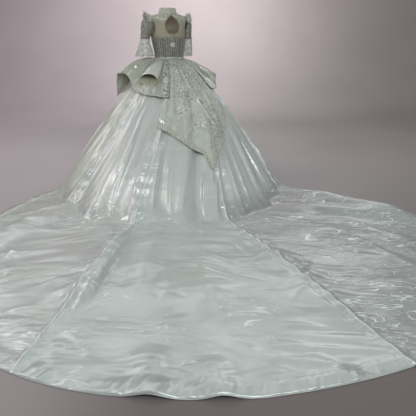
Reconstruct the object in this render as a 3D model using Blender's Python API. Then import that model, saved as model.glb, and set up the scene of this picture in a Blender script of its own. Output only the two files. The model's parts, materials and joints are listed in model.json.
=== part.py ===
"""Ball gown for a wedding, held in its worn form, with a long round train, draped hip loops,
an embroidered back overlay, a ribbed corset, a sheer yoke with a keyhole and bell sleeves.
Metres, +Z up. The origin is the middle of the waist, -Y is the front, +X the wearer's left.
Every piece of cloth is a thin closed wall lofted through sections that the sizes below give."""

import math
from bisect import bisect_right
from collections import namedtuple

import bpy
from mathutils import Vector

# Driving sizes
WAIST_HEIGHT = 1.15
SATIN = 0.0022
LACE = 0.0016
SHEER = 0.0012
SEAM_GAP = 0.0004
GORE_GAP = 0.0008
CONE_FACING_OUT = 0.78  # the cone's slope: how much of its normal points out, and up
CONE_FACING_UP = 0.62
OVERLAY_LIFT = 0.007
TRAIN_SWING = 14.0  # degrees that the laid-out train is turned to the wearer's left
FLOOR = -WAIST_HEIGHT

# Body of the bodice: half width and depth behind and before the waist axis, by height
TorsoRing = namedtuple("TorsoRing", "z half_width back front")
TORSO = [
    TorsoRing(0.000, 0.128, 0.094, 0.100),
    TorsoRing(0.050, 0.132, 0.096, 0.104),
    TorsoRing(0.100, 0.141, 0.101, 0.112),
    TorsoRing(0.150, 0.151, 0.106, 0.120),
    TorsoRing(0.200, 0.157, 0.108, 0.124),
    TorsoRing(0.250, 0.160, 0.106, 0.120),
    TorsoRing(0.300, 0.169, 0.100, 0.108),
    TorsoRing(0.340, 0.182, 0.090, 0.092),
    TorsoRing(0.352, 0.170, 0.084, 0.086),
    TorsoRing(0.362, 0.135, 0.079, 0.080),
    TorsoRing(0.370, 0.105, 0.076, 0.075),
    TorsoRing(0.378, 0.084, 0.072, 0.070),
    TorsoRing(0.400, 0.074, 0.066, 0.062),
    TorsoRing(0.424, 0.071, 0.063, 0.059),
]
BODICE_FOOT = 0.0
NECK_BASE = 0.378
COLLAR_TOP = 0.424
BUST_HEIGHT = 0.178
BUST_AZIMUTH = 148.0
BUST_OUT = 0.026

# Upper edge of the corset behind, and of the front panels with their two cups
BACK_EDGE_CENTRE = 0.176
BACK_EDGE_SIDE = 0.184
EdgeRow = namedtuple("EdgeRow", "azimuth z")
FRONT_EDGE = [
    EdgeRow(90.0, 0.184),
    EdgeRow(110.0, 0.206),
    EdgeRow(132.0, 0.244),
    EdgeRow(148.0, 0.258),
    EdgeRow(165.0, 0.240),
    EdgeRow(180.0, 0.212),
]

# Teardrop keyhole: half width by height
KeyRow = namedtuple("KeyRow", "z half_width")
KEYHOLE = [
    KeyRow(0.198, 0.000),
    KeyRow(0.203, 0.026),
    KeyRow(0.214, 0.046),
    KeyRow(0.236, 0.062),
    KeyRow(0.266, 0.068),
    KeyRow(0.300, 0.059),
    KeyRow(0.328, 0.040),
    KeyRow(0.349, 0.018),
    KeyRow(0.362, 0.000),
]

# Armhole: an upright oval on the side of the bodice
ARMHOLE_HEIGHT = 0.270
ARMHOLE_HALF_HIGH = 0.082
ARMHOLE_HALF_DEEP = 0.052

# Sleeves: sections down the arm, tilt 90 is the armhole's own plane and 0 is level
SleeveRow = namedtuple("SleeveRow", "tilt x y z half_out half_deep")
UPPER_SLEEVE = [
    SleeveRow(90.0, 0.166, 0.000, 0.270, 0.082, 0.052),
    SleeveRow(62.0, 0.178, 0.000, 0.270, 0.080, 0.056),
    SleeveRow(40.0, 0.190, 0.000, 0.262, 0.066, 0.057),
    SleeveRow(22.0, 0.202, 0.000, 0.238, 0.052, 0.055),
    SleeveRow(8.0, 0.211, 0.001, 0.200, 0.047, 0.050),
    SleeveRow(0.0, 0.2190, 0.0025, 0.1625, 0.045, 0.047),
]
BELL_SLEEVE = [
    SleeveRow(0.0, 0.2192, 0.0025, 0.1610, 0.045, 0.047),
    SleeveRow(0.0, 0.2205, -0.004, 0.125, 0.050, 0.054),
    SleeveRow(0.0, 0.2210, -0.020, 0.085, 0.058, 0.072),
    SleeveRow(0.0, 0.2200, -0.042, 0.045, 0.068, 0.096),
    SleeveRow(0.0, 0.2185, -0.062, 0.0165, 0.075, 0.116),
]
RIGHT_ARM_IN = 0.038  # the right arm hangs this much closer
RIGHT_BELL_SLIMMER = 0.016  # and its bell flares out this much less at the hem
BODY_CLEARANCE = 0.0080
ARMHOLE_CLEARANCE = 0.0024
BELL_WAVES = 5
BELL_WAVE_DEPTH = 0.006

# Skirt: how far out the cone stands, from the waist (0) to the floor (1), by drop
ConeRow = namedtuple("ConeRow", "drop reach")
CONE = [
    ConeRow(0.000, 0.000),
    ConeRow(0.014, 0.005),
    ConeRow(0.034, 0.044),
    ConeRow(0.080, 0.115),
    ConeRow(0.160, 0.195),
    ConeRow(0.300, 0.325),
    ConeRow(0.500, 0.490),
    ConeRow(0.800, 0.725),
    ConeRow(1.000, 0.872),
    ConeRow(1.090, 0.940),
    ConeRow(1.150, 1.000),
]
CONE_DROPS = (0.0008, 0.014, 0.034, 0.080, 0.150, 0.240, 0.360, 0.500, 0.650, 0.810, 0.970, 1.090, 1.150)

# Where the cone meets the floor and where the hem lies, by azimuth on each side
HemRow = namedtuple("HemRow", "azimuth left_foot left_hem right_foot right_hem")
HEM = [
    HemRow(0.0, 1.280, 3.060, 1.280, 3.060),
    HemRow(15.0, 1.240, 2.965, 1.285, 3.080),
    HemRow(30.0, 1.260, 2.740, 1.220, 2.900),
    HemRow(45.0, 1.210, 2.380, 1.130, 2.400),
    HemRow(55.0, 1.170, 2.060, 1.070, 1.740),
    HemRow(62.0, 1.150, 1.820, 1.045, 1.180),
    HemRow(70.0, 1.120, 1.580, 1.025, 1.065),
    HemRow(80.0, 1.090, 1.320, 1.005, 1.040),
    HemRow(88.0, 1.065, 1.130, 0.990, 1.025),
    HemRow(100.0, 1.020, 1.055, 0.970, 1.005),
    HemRow(120.0, 0.940, 0.975, 0.920, 0.955),
    HemRow(150.0, 0.850, 0.880, 0.850, 0.880),
    HemRow(180.0, 0.820, 0.850, 0.820, 0.850),
]

# Folds of the skirt's cone: ridges stand out, troughs (minus) go in
ConeFold = namedtuple("ConeFold", "waist foot height half_width")
CONE_FOLDS = [
    ConeFold(-172.0, -174.0, 0.020, 6.0),
    ConeFold(-158.0, -160.0, -0.018, 6.0),
    ConeFold(-143.0, -146.0, 0.024, 6.5),
    ConeFold(-127.0, -130.0, -0.022, 7.0),
    ConeFold(-112.0, -115.0, 0.028, 7.0),
    ConeFold(-97.0, -99.0, -0.022, 6.0),
    ConeFold(-84.0, -85.0, 0.032, 6.0),
    ConeFold(-71.0, -73.0, -0.026, 5.5),
    ConeFold(-60.0, -62.0, 0.034, 5.5),
    ConeFold(-46.0, -48.5, 0.030, 4.5),
    ConeFold(-39.0, -40.0, -0.048, 5.0),
    ConeFold(-29.0, -34.0, 0.038, 4.5),
    ConeFold(-21.0, -24.0, -0.022, 4.0),
    ConeFold(-10.0, -8.5, 0.030, 3.8),
    ConeFold(-3.5, -3.8, -0.050, 3.6),
    ConeFold(4.0, 4.5, 0.026, 4.0),
    ConeFold(13.0, 11.0, -0.014, 4.0),
    ConeFold(22.0, 19.0, 0.022, 4.2),
    ConeFold(30.0, 29.0, -0.020, 4.2),
    ConeFold(41.0, 40.0, 0.046, 5.5),
    ConeFold(57.0, 56.0, -0.058, 8.0),
    ConeFold(76.0, 79.0, 0.026, 7.0),
    ConeFold(88.0, 90.0, 0.028, 6.0),
    ConeFold(101.0, 103.0, -0.022, 6.0),
    ConeFold(115.0, 117.0, 0.026, 7.0),
    ConeFold(130.0, 132.0, -0.020, 7.0),
    ConeFold(146.0, 147.0, 0.024, 6.5),
    ConeFold(160.0, 161.0, -0.018, 6.0),
    ConeFold(174.0, 173.0, 0.018, 6.0),
]
WAIST_PLEATS = 32
WAIST_PLEAT_DEPTH = 0.006

# Folds of the train where it lies on the floor: soft ridges from one place to another
FloorFold = namedtuple("FloorFold", "x0 y0 x1 y1 height half_width")
FLOOR_FOLDS = [
    FloorFold(-0.86, 0.98, -1.30, 1.90, 0.070, 0.085),
    FloorFold(-0.62, 1.22, -1.18, 1.78, 0.045, 0.090),
    FloorFold(0.05, 1.50, 0.12, 2.75, 0.030, 0.100),
    FloorFold(-0.35, 1.60, -1.05, 2.35, 0.028, 0.120),
    FloorFold(0.88, 1.28, 1.30, 1.98, 0.030, 0.100),
    FloorFold(0.35, 1.62, 0.72, 2.42, 0.018, 0.130),
    FloorFold(1.28, 0.55, 1.72, 1.00, 0.040, 0.090),
    FloorFold(1.15, 1.35, 1.90, 1.55, 0.022, 0.120),
    FloorFold(-0.15, 2.55, -0.80, 2.60, 0.020, 0.110),
    FloorFold(1.04, 2.50, 1.17, 2.84, 0.026, 0.070),
    FloorFold(0.84, 2.66, 0.90, 2.96, 0.024, 0.060),
]

# Gores of the skirt, from one seam to the next, with columns across and rows on the floor
Gore = namedtuple("Gore", "name start end columns floor_rows")
GORES = [
    Gore("skirt_centre_back", -12.5, 20.5, 13, 8),
    Gore("skirt_back_left", 20.5, 62.0, 15, 8),
    Gore("skirt_side_left", 62.0, 115.0, 12, 3),
    Gore("skirt_front", 115.0, 245.0, 22, 1),
    Gore("skirt_side_right", 245.0, 302.0, 13, 3),
    Gore("skirt_back_right", 302.0, 347.5, 16, 8),
]

# Hip loops: where each line of the cloth leaves the waist and where it ends at the loop's edge
DrapeRow = namedtuple("DrapeRow", "waist x y z rise")
LEFT_LOOP = [
    DrapeRow(24.0, 0.178, 0.452, -0.305, 0.000),
    DrapeRow(31.0, 0.232, 0.424, -0.300, 0.004),
    DrapeRow(38.0, 0.276, 0.396, -0.290, 0.000),
    DrapeRow(46.0, 0.330, 0.350, -0.290, 0.000),
    DrapeRow(56.0, 0.376, 0.268, -0.270, 0.004),
    DrapeRow(66.0, 0.402, 0.165, -0.245, 0.020),
    DrapeRow(75.0, 0.408, 0.112, -0.180, 0.034),
    DrapeRow(83.0, 0.446, 0.062, -0.122, 0.044),
    DrapeRow(90.0, 0.490, 0.000, -0.128, 0.044),
    DrapeRow(97.0, 0.487, -0.056, -0.205, 0.038),
    DrapeRow(105.0, 0.478, -0.100, -0.335, 0.022),
    DrapeRow(120.0, 0.440, -0.215, -0.330, 0.006),
    DrapeRow(138.0, 0.330, -0.330, -0.310, 0.002),
]
RIGHT_LOOP = [
    DrapeRow(40.0, 0.262, 0.322, -0.250, 0.000),
    DrapeRow(50.0, 0.342, 0.276, -0.262, 0.002),
    DrapeRow(60.0, 0.392, 0.196, -0.262, 0.012),
    DrapeRow(69.0, 0.416, 0.128, -0.258, 0.026),
    DrapeRow(78.0, 0.440, 0.072, -0.205, 0.026),
    DrapeRow(86.0, 0.470, 0.026, -0.154, 0.012),
    DrapeRow(94.0, 0.478, -0.034, -0.158, 0.010),
    DrapeRow(102.0, 0.480, -0.078, -0.235, 0.012),
    DrapeRow(110.0, 0.486, -0.116, -0.330, 0.008),
    DrapeRow(124.0, 0.420, -0.232, -0.322, 0.002),
    DrapeRow(138.0, 0.322, -0.322, -0.302, 0.002),
]

# Rolled flute of the left loop: an open tube that runs out from the waist
RollRow = namedtuple("RollRow", "out half_wide half_high")
ROLL_AZIMUTH = 46.0
ROLL = [
    RollRow(0.185, 0.026, 0.005),
    RollRow(0.220, 0.038, 0.009),
    RollRow(0.265, 0.054, 0.017),
    RollRow(0.315, 0.068, 0.028),
    RollRow(0.365, 0.077, 0.038),
    RollRow(0.412, 0.083, 0.047),
]
ROLL_LIFT = 0.0335

# Back overlay: how far down its pointed hem hangs, by azimuth on the skirt
OverlayRow = namedtuple("OverlayRow", "azimuth hem_drop")
OVERLAY = [
    OverlayRow(-37.0, 0.330),
    OverlayRow(-31.0, 0.450),
    OverlayRow(-25.0, 0.570),
    OverlayRow(-19.0, 0.655),
    OverlayRow(-14.0, 0.720),
    OverlayRow(-9.5, 0.815),
    OverlayRow(-6.0, 0.725),
    OverlayRow(-1.2, 0.688),
    OverlayRow(7.3, 0.621),
    OverlayRow(14.9, 0.571),
    OverlayRow(24.0, 0.520),
]
OVERLAY_TOP = 0.017
OVERLAY_PLEATS = 5
OVERLAY_PLEAT_DEPTH = 0.009
DEEPEST_UNDER_OVERLAY = -0.012
TRIM_WIDE = 0.036
TRIM_LIFT = 0.0018
BEAD_HEIGHT = 0.0025

# Flower shapes sewn on the overlay, and the one on the corset's centre back
Flower = namedtuple("Flower", "azimuth drop radius petals lift")
OVERLAY_FLOWERS = [
    Flower(12.0, 0.165, 0.036, 6, 0.0007),
    Flower(2.0, 0.245, 0.046, 6, 0.0018),
    Flower(-12.0, 0.330, 0.044, 5, 0.0038),
    Flower(8.0, 0.400, 0.050, 6, 0.0031),
    Flower(-6.0, 0.505, 0.056, 6, 0.0044),
    Flower(-20.0, 0.480, 0.046, 5, 0.0021),
]
CORSET_FLOWER_HEIGHT = 0.118
CORSET_FLOWER_RADIUS = 0.024

FRONT_COLUMNS = 10
CORSET_RIBS = 10
RIB_HEIGHT = 0.0014
EPAULETTE_SPIKES = 9
EPAULETTE_SPIKE = 0.022
SLEEVE_GAP = 0.0010
YOKE_GAP = 0.0007
LOOP_CLEARANCE = 0.018
OVERLAY_CLEARANCE = 0.034
LOOP_TOP = 0.0108
LOOP_START = 0.011
LOOP_STEPS = (0.0, 0.06, 0.15, 0.28, 0.43, 0.60, 0.79, 1.0)
OVERLAY_ROWS = 10

Finish = namedtuple("Finish", "name colour roughness metallic")
SATIN_FINISH = Finish("satin", (0.66, 0.70, 0.67, 1.0), 0.28, 0.0)
LACE_FINISH = Finish("lace", (0.42, 0.42, 0.38, 1.0), 0.6, 0.0)
SHEER_FINISH = Finish("illusion", (0.30, 0.27, 0.18, 1.0), 0.7, 0.0)
BEAD_FINISH = Finish("beads", (0.75, 0.75, 0.70, 1.0), 0.2, 0.4)


def clear_scene():
    for leftover in list(bpy.data.objects):
        bpy.data.objects.remove(leftover, do_unlink=True)


def table_value(rows, name, at):
    """The named column of a table at this value of its first column, on a smooth curve
    that never swings past its rows."""
    xs = [row[0] for row in rows]
    ys = [getattr(row, name) for row in rows]
    if at <= xs[0]:
        return ys[0]
    if at >= xs[-1]:
        return ys[-1]
    i = bisect_right(xs, at) - 1
    slopes = [(ys[k + 1] - ys[k]) / (xs[k + 1] - xs[k]) for k in range(len(xs) - 1)]

    def tangent(k):
        if k == 0:
            return slopes[0]
        if k == len(xs) - 1:
            return slopes[-1]
        before, after = slopes[k - 1], slopes[k]
        return 2 * before * after / (before + after) if before * after > 0 else 0.0

    step = xs[i + 1] - xs[i]
    t = (at - xs[i]) / step
    start = ys[i] * (1 + 2 * t) * (1 - t) ** 2 + step * tangent(i) * t * (1 - t) ** 2
    end = ys[i + 1] * t * t * (3 - 2 * t) + step * tangent(i + 1) * t * t * (t - 1)
    return start + end


def smooth_step(edge0, edge1, x):
    t = min(1.0, max(0.0, (x - edge0) / (edge1 - edge0)))
    return t * t * (3 - 2 * t)


def turn_apart(a, b):
    """Signed difference of two azimuths, in degrees, from -180 to 180."""
    return (a - b + 180.0) % 360.0 - 180.0


def grid_normals(grid, around):
    """One outward normal for each point of a grid of rows and columns."""
    rows, columns = len(grid), len(grid[0])
    normals = []
    for i in range(rows):
        line = []
        for j in range(columns):
            up = grid[max(i - 1, 0)][j]
            down = grid[min(i + 1, rows - 1)][j]
            if around:
                left = grid[i][(j - 1) % columns]
                right = grid[i][(j + 1) % columns]
            else:
                left = grid[i][max(j - 1, 0)]
                right = grid[i][min(j + 1, columns - 1)]
            line.append((up - down).cross(right - left).normalized())
        normals.append(line)
    return normals


def add_finish(piece, finish):
    material = bpy.data.materials.new(piece.name + "_" + finish.name)
    material.use_nodes = True
    shader = material.node_tree.nodes["Principled BSDF"]
    shader.inputs["Base Color"].default_value = finish.colour
    shader.inputs["Roughness"].default_value = finish.roughness
    shader.inputs["Metallic"].default_value = finish.metallic
    piece.data.materials.append(material)


def wall(name, inner, outer, finish, around=False):
    """A closed wall between two grids of points, as a tube where it runs all round."""
    rows, columns = len(inner), len(inner[0])
    points = [point for line in outer for point in line] + [point for line in inner for point in line]
    shift = rows * columns
    faces = []
    across = range(columns) if around else range(columns - 1)
    for i in range(rows - 1):
        for j in across:
            k = (j + 1) % columns
            a, b, c, d = i * columns + j, i * columns + k, (i + 1) * columns + k, (i + 1) * columns + j
            faces.append((a, b, c, d))
            faces.append((a + shift, d + shift, c + shift, b + shift))
    last = (rows - 1) * columns
    for j in across:
        k = (j + 1) % columns
        faces.append((j, j + shift, k + shift, k))
        faces.append((last + j, last + k, last + k + shift, last + j + shift))
    if not around:
        for i in range(rows - 1):
            a, b = i * columns, (i + 1) * columns
            faces.append((a, b, b + shift, a + shift))
            a, b = a + columns - 1, b + columns - 1
            faces.append((b, a, a + shift, b + shift))
    mesh = bpy.data.meshes.new(name)
    mesh.from_pydata([tuple(point) for point in points], [], faces)
    mesh.update()
    mesh.shade_smooth()
    mesh.set_sharp_from_angle(angle=math.radians(50))
    piece = bpy.data.objects.new(name, mesh)
    bpy.data.collections["wedding_dress"].objects.link(piece)
    add_finish(piece, finish)
    return piece


def cloth(name, inner, thickness, finish, around=False, normals=None, relief=None):
    """A wall of this thickness over a grid, with an optional relief on its outer points."""
    normals = normals or grid_normals(inner, around)
    outer = []
    for i, line in enumerate(inner):
        raised = []
        for j, point in enumerate(line):
            height = thickness + (relief(i, j) if relief else 0.0)
            raised.append(point + normals[i][j] * height)
        outer.append(raised)
    return wall(name, inner, outer, finish, around)


def torso_point(azimuth, z, out=0.0):
    """A point of the bodice, by azimuth from the centre back towards the wearer's left."""
    turn = math.radians(azimuth)
    half_width = table_value(TORSO, "half_width", z) + out
    behind = math.cos(turn) > 0
    depth = table_value(TORSO, "back" if behind else "front", z) + out
    bust = 0.0
    for side in (-1, 1):
        across = turn_apart(azimuth, side * BUST_AZIMUTH) / 22.0
        up = (z - BUST_HEIGHT) / 0.055
        bust += BUST_OUT * math.exp(-across * across - up * up)
    return Vector((half_width * math.sin(turn), (depth + bust) * math.cos(turn), z))


def torso_normal(azimuth, z):
    """Which way the bodice faces at this place."""
    across = torso_point(azimuth + 0.5, z) - torso_point(azimuth - 0.5, z)
    up = torso_point(azimuth, z + 0.001) - torso_point(azimuth, z - 0.001)
    return up.cross(across).normalized()


def torso_cloth(name, places, thickness, finish, relief=None):
    """A wall on the bodice's form, through a grid of (azimuth, height) places."""
    grid = [[torso_point(azimuth, z) for azimuth, z in line] for line in places]
    normals = [[torso_normal(azimuth, z) for azimuth, z in line] for line in places]
    cloth(name, grid, thickness, finish, normals=normals, relief=relief)


def other_side(places):
    return [[(-azimuth, z) for azimuth, z in reversed(line)] for line in places]


def back_edge(azimuth):
    share = (abs(azimuth) / 90.0) ** 2
    return BACK_EDGE_CENTRE + (BACK_EDGE_SIDE - BACK_EDGE_CENTRE) * share


def seam_angle(z, gap=SEAM_GAP):
    """Half a seam's gap as degrees of azimuth."""
    return math.degrees(0.5 * gap / table_value(TORSO, "half_width", z))


def add_corset_back():
    """Two ribbed panels from the centre back to the side seams."""
    columns = CORSET_RIBS * 3
    rows = 4

    def rib(i, j):
        return RIB_HEIGHT if j % 3 == 1 else 0.0

    places = []
    for i in range(rows):
        down = i / (rows - 1)
        line = []
        for j in range(columns + 1):
            azimuth = 90.0 * j / columns
            top = back_edge(azimuth) - SEAM_GAP
            z = top + (BODICE_FOOT - top) * down
            gap = seam_angle(z)
            line.append((min(max(azimuth, gap), 90.0 - gap), z))
        places.append(line)
    torso_cloth("corset_back_left", places, LACE, LACE_FINISH, rib)
    torso_cloth("corset_back_right", other_side(places), LACE, LACE_FINISH, rib)


def add_bodice_front():
    """Two front panels with their cups, joined at the centre front."""
    rows = 7
    places = []
    for i in range(rows):
        down = i / (rows - 1)
        line = []
        for j in range(FRONT_COLUMNS + 1):
            azimuth = 90.0 + 90.0 * j / FRONT_COLUMNS
            top = table_value(FRONT_EDGE, "z", azimuth) - SEAM_GAP
            z = top + (BODICE_FOOT - top) * down
            gap = seam_angle(z)
            line.append((min(max(azimuth, 90.0 + gap), 180.0 - gap), z))
        places.append(line)
    torso_cloth("bodice_front_left", places, LACE, LACE_FINISH)
    torso_cloth("bodice_front_right", other_side(places), LACE, LACE_FINISH)


def armhole_azimuth(z, side):
    """Where the yoke stops at the armhole, from the centre back or the centre front."""
    up = (z - ARMHOLE_HEIGHT) / ARMHOLE_HALF_HIGH
    gap = seam_angle(z)
    if abs(up) >= 1:
        return 90.0 - gap
    reach = ARMHOLE_HALF_DEEP * math.sqrt(1 - up * up)
    return min(90.0 - gap, math.degrees(math.acos(reach / table_value(TORSO, side, z))))


def add_yoke_back():
    """Sheer panels from the corset to the collar, with half of the keyhole in each."""
    levels = (0.177, 0.198, 0.203, 0.214, 0.236, 0.266, 0.300, 0.328, 0.343, 0.353, 0.362, 0.370, NECK_BASE)
    columns = 6
    places = []
    for level in reversed(levels):
        up = (level - levels[0]) / (NECK_BASE - levels[0])
        edge_level = (BACK_EDGE_SIDE + YOKE_GAP) * (1 - up) + NECK_BASE * up
        opening = table_value(KEYHOLE, "half_width", level) / table_value(TORSO, "half_width", level)
        start = max(math.degrees(math.asin(opening)), seam_angle(level))
        end = armhole_azimuth(edge_level, "back")
        line = []
        for j in range(columns + 1):
            share = j / columns
            bottom = back_edge(90.0 * share) + YOKE_GAP
            line.append((start + (end - start) * share, bottom * (1 - up) + NECK_BASE * up))
        places.append(line)
    torso_cloth("yoke_back_left", places, SHEER, SHEER_FINISH)
    torso_cloth("yoke_back_right", other_side(places), SHEER, SHEER_FINISH)


def add_yoke_front():
    """One sheer panel from the cups to the collar, out to both armholes."""
    columns, rows = 2 * FRONT_COLUMNS, 8
    places = []
    for i in range(rows):
        up = 1 - i / (rows - 1)
        edge_level = (FRONT_EDGE[0].z + YOKE_GAP) * (1 - up) + NECK_BASE * up
        reach = armhole_azimuth(edge_level, "front")
        line = []
        for j in range(columns + 1):
            share = 2 * j / columns - 1
            bottom = table_value(FRONT_EDGE, "z", 180.0 - 90.0 * abs(share)) + YOKE_GAP
            line.append((180.0 + reach * share, bottom * (1 - up) + NECK_BASE * up))
        places.append(line)
    torso_cloth("yoke_front", places, SHEER, SHEER_FINISH)


def add_collar():
    """A high beaded collar whose ends cross at the centre back, and its button."""
    columns, rows = 22, 4
    lap = 7.0

    def bead(i, j):
        return BEAD_HEIGHT if i in (1, 2) and j % 2 else 0.0

    def half(side, over):
        grid = []
        for i in range(rows):
            z = COLLAR_TOP + (NECK_BASE + 2 * SEAM_GAP - COLLAR_TOP) * i / (rows - 1)
            line = []
            for j in range(columns + 1):
                azimuth = -lap + (179.8 + lap) * j / columns
                out = over * (1 - smooth_step(lap + 1.0, lap + 8.0, azimuth))
                point = torso_point(azimuth, z, out)
                line.append(Vector((side * point.x, point.y, point.z)))
            grid.append(line if side > 0 else line[::-1])
        return grid

    over = LACE + BEAD_HEIGHT + SEAM_GAP
    cloth("collar_left", half(1, over), LACE, BEAD_FINISH, relief=bead)
    cloth("collar_right", half(-1, 0.0), LACE, BEAD_FINISH, relief=bead)
    bpy.ops.mesh.primitive_uv_sphere_add(segments=12, ring_count=8, radius=0.0055)
    button = bpy.context.object
    button.name = "collar_button"
    place = torso_point(0.0, 0.404, over + LACE + BEAD_HEIGHT + 0.0055 + SEAM_GAP)
    button.location = place
    button.data.shade_smooth()
    move_to_dress(button)
    add_finish(button, BEAD_FINISH)


def move_to_dress(piece):
    for home in list(piece.users_collection):
        home.objects.unlink(piece)
    bpy.data.collections["wedding_dress"].objects.link(piece)


def mirrored(grid):
    return [[Vector((-point.x, point.y, point.z)) for point in reversed(line)] for line in grid]


def torso_side(y, z):
    """How far out the side of the bodice stands at this place."""
    depth = table_value(TORSO, "back" if y > 0 else "front", z)
    inside = max(0.0, 1 - (y / depth) ** 2)
    return table_value(TORSO, "half_width", z) * math.sqrt(inside)


def sleeve_grid(rows, closer, slimmer, waves, columns):
    """Rings down the arm, each this much closer to the body and clear of its side. The
    last ring is this much slimmer and has the full waves."""
    grid = []
    for n, row in enumerate(rows):
        tilt = math.radians(row.tilt)
        down = n / (len(rows) - 1)
        in_by = closer * (1 - row.tilt / 90.0)
        clearance = ARMHOLE_CLEARANCE if row.tilt > 85.0 else BODY_CLEARANCE
        line = []
        for j in range(columns):
            turn = 2 * math.pi * j / columns
            wave = waves * down * math.cos(BELL_WAVES * turn)
            out = (row.half_out - slimmer * down + wave) * math.cos(turn)
            deep = (row.half_deep + wave) * math.sin(turn)
            x = row.x - in_by + out * math.cos(tilt)
            z = row.z + out * math.sin(tilt)
            y = row.y + deep
            if z > 0.0:
                x = max(x, torso_side(y, min(z, ARMHOLE_HEIGHT + ARMHOLE_HALF_HIGH)) + clearance)
            line.append(Vector((x, y, z)))
        grid.append(line)
    return grid


def spaced_rows(rows, count):
    """The table's sections, read again at even steps."""
    Row = type(rows[0])
    Numbered = namedtuple("Numbered", ("at",) + Row._fields)
    numbered = [Numbered(float(n), *row) for n, row in enumerate(rows)]
    marks = [(len(rows) - 1) * k / (count - 1) for k in range(count)]
    return [Row(*(table_value(numbered, name, at) for name in Row._fields)) for at in marks]


def halves(name, grid, thickness, finish):
    """A tube cut down its length into an outer and an inner half."""
    columns = len(grid[0])
    normals = grid_normals(grid, True)
    quarter = columns // 4
    spans = {"outer": (-quarter, quarter), "inner": (quarter, columns - quarter)}
    for part, (start, end) in spans.items():
        picks = [k % columns for k in range(start, end + 1)]
        inner = [[line[k].copy() for k in picks] for line in grid]
        facing = [[line[k] for k in picks] for line in normals]
        close_seams(inner, SLEEVE_GAP)
        cloth(name + "_" + part, inner, thickness, finish, normals=facing)


def close_seams(grid, gap):
    """Draws the two side columns of a grid in by half a seam's gap."""
    for line in grid:
        first = (line[1] - line[0]).normalized() * (0.5 * gap)
        last = (line[-2] - line[-1]).normalized() * (0.5 * gap)
        line[0] += first
        line[-1] += last


def add_sleeves():
    columns = 20
    for side, closer, slimmer in ((1, 0.0, 0.0), (-1, RIGHT_ARM_IN, RIGHT_BELL_SLIMMER)):
        word = "left" if side > 0 else "right"
        upper = sleeve_grid(spaced_rows(UPPER_SLEEVE, 7), closer, 0.0, 0.0, columns)
        bell = sleeve_grid(spaced_rows(BELL_SLEEVE, 6), closer, slimmer, BELL_WAVE_DEPTH, columns)
        if side < 0:
            upper, bell = mirrored(upper), mirrored(bell)
            upper = [line[-1:] + line[:-1] for line in upper]
            bell = [line[-1:] + line[:-1] for line in bell]
        halves("sleeve_" + word, [line[::-1] for line in upper], LACE, LACE_FINISH)
        halves("bell_" + word, [line[::-1] for line in bell], SHEER, SHEER_FINISH)


def waist_radius(azimuth):
    turn = math.radians(azimuth)
    ring = TORSO[0]
    depth = ring.back if math.cos(turn) > 0 else ring.front
    return 1 / math.hypot(math.sin(turn) / ring.half_width, math.cos(turn) / depth) + LACE


def swing(azimuth, drop):
    """How far the laid-out train turns the skirt at this drop, in degrees."""
    behind = 0.5 * (1 + math.cos(math.radians(azimuth)))
    return TRAIN_SWING * behind * smooth_step(0.0, WAIST_HEIGHT, drop)


def hem_value(azimuth, name):
    azimuth = turn_apart(azimuth, 0.0)
    side = "left_" if azimuth >= 0 else "right_"
    return table_value(HEM, side + name, abs(azimuth))


def fold_depth(azimuth, drop):
    """How far the cone's folds and waist pleats move its cloth in or out."""
    down = min(1.0, drop / WAIST_HEIGHT)
    grown = smooth_step(0.08, 0.66, drop)
    depth = 0.0
    for fold in CONE_FOLDS:
        centre = fold.waist + (fold.foot - fold.waist) * down
        apart = turn_apart(azimuth, centre) / fold.half_width
        depth += fold.height * grown * math.exp(-apart * apart)
    pleated = smooth_step(0.012, 0.07, drop) * (1 - smooth_step(0.35, 0.60, drop))
    return depth + WAIST_PLEAT_DEPTH * pleated * math.cos(math.radians(WAIST_PLEATS * azimuth))


def floor_lift(x, y):
    """How high the train's folds stand off the floor here."""
    lift = 0.0
    for fold in FLOOR_FOLDS:
        run = Vector((fold.x1 - fold.x0, fold.y1 - fold.y0))
        here = Vector((x - fold.x0, y - fold.y0))
        along = here.dot(run) / run.length_squared
        nearest = run * min(1.0, max(0.0, along))
        apart = (here - nearest).length / fold.half_width
        taper = smooth_step(-0.1, 0.25, along) * (1 - smooth_step(0.75, 1.1, along))
        lift += fold.height * taper * math.exp(-apart * apart)
    return lift


def cone_radius(azimuth, drop):
    """Radius of the skirt's cone with no folds."""
    waist = waist_radius(azimuth + swing(azimuth, drop))
    return waist + (hem_value(azimuth, "foot") - waist) * table_value(CONE, "reach", drop)


def skirt_point(azimuth, drop, along_floor=0.0, out=0.0, deepest=-1.0):
    """A point of the skirt: down its cone, then out along the floor to the hem. The out
    distance moves it off the cone, and deepest bridges the troughs under the overlay."""
    turn = math.radians(azimuth + swing(azimuth, drop))
    fold = max(fold_depth(azimuth, drop), deepest)
    radius = cone_radius(azimuth, drop) + fold * (1 - smooth_step(0.0, 0.25, along_floor))
    radius += (hem_value(azimuth, "hem") - radius) * along_floor
    radius += out * CONE_FACING_OUT
    x, y = radius * math.sin(turn), radius * math.cos(turn)
    settled = smooth_step(1.0, WAIST_HEIGHT, drop)
    return Vector((x, y, -drop + settled * floor_lift(x, y) + out * CONE_FACING_UP))


def skirt_normal(azimuth, drop, along_floor):
    """Which way the skirt's cloth faces at this place."""
    across = skirt_point(azimuth + 0.6, drop, along_floor) - skirt_point(azimuth - 0.6, drop, along_floor)
    if along_floor > 0.02:
        above, below = (drop, along_floor - 0.015), (drop, min(1.0, along_floor + 0.015))
    elif drop > WAIST_HEIGHT - 0.02:
        above, below = (drop - 0.04, 0.0), (drop, 0.03)
    else:
        above, below = (drop - 0.004, 0.0), (drop + 0.004, 0.0)
    up = skirt_point(azimuth, *above) - skirt_point(azimuth, *below)
    return up.cross(across).normalized()


def gore_azimuths(gore):
    return [gore.start + (gore.end - gore.start) * k / gore.columns for k in range(gore.columns + 1)]


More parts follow.
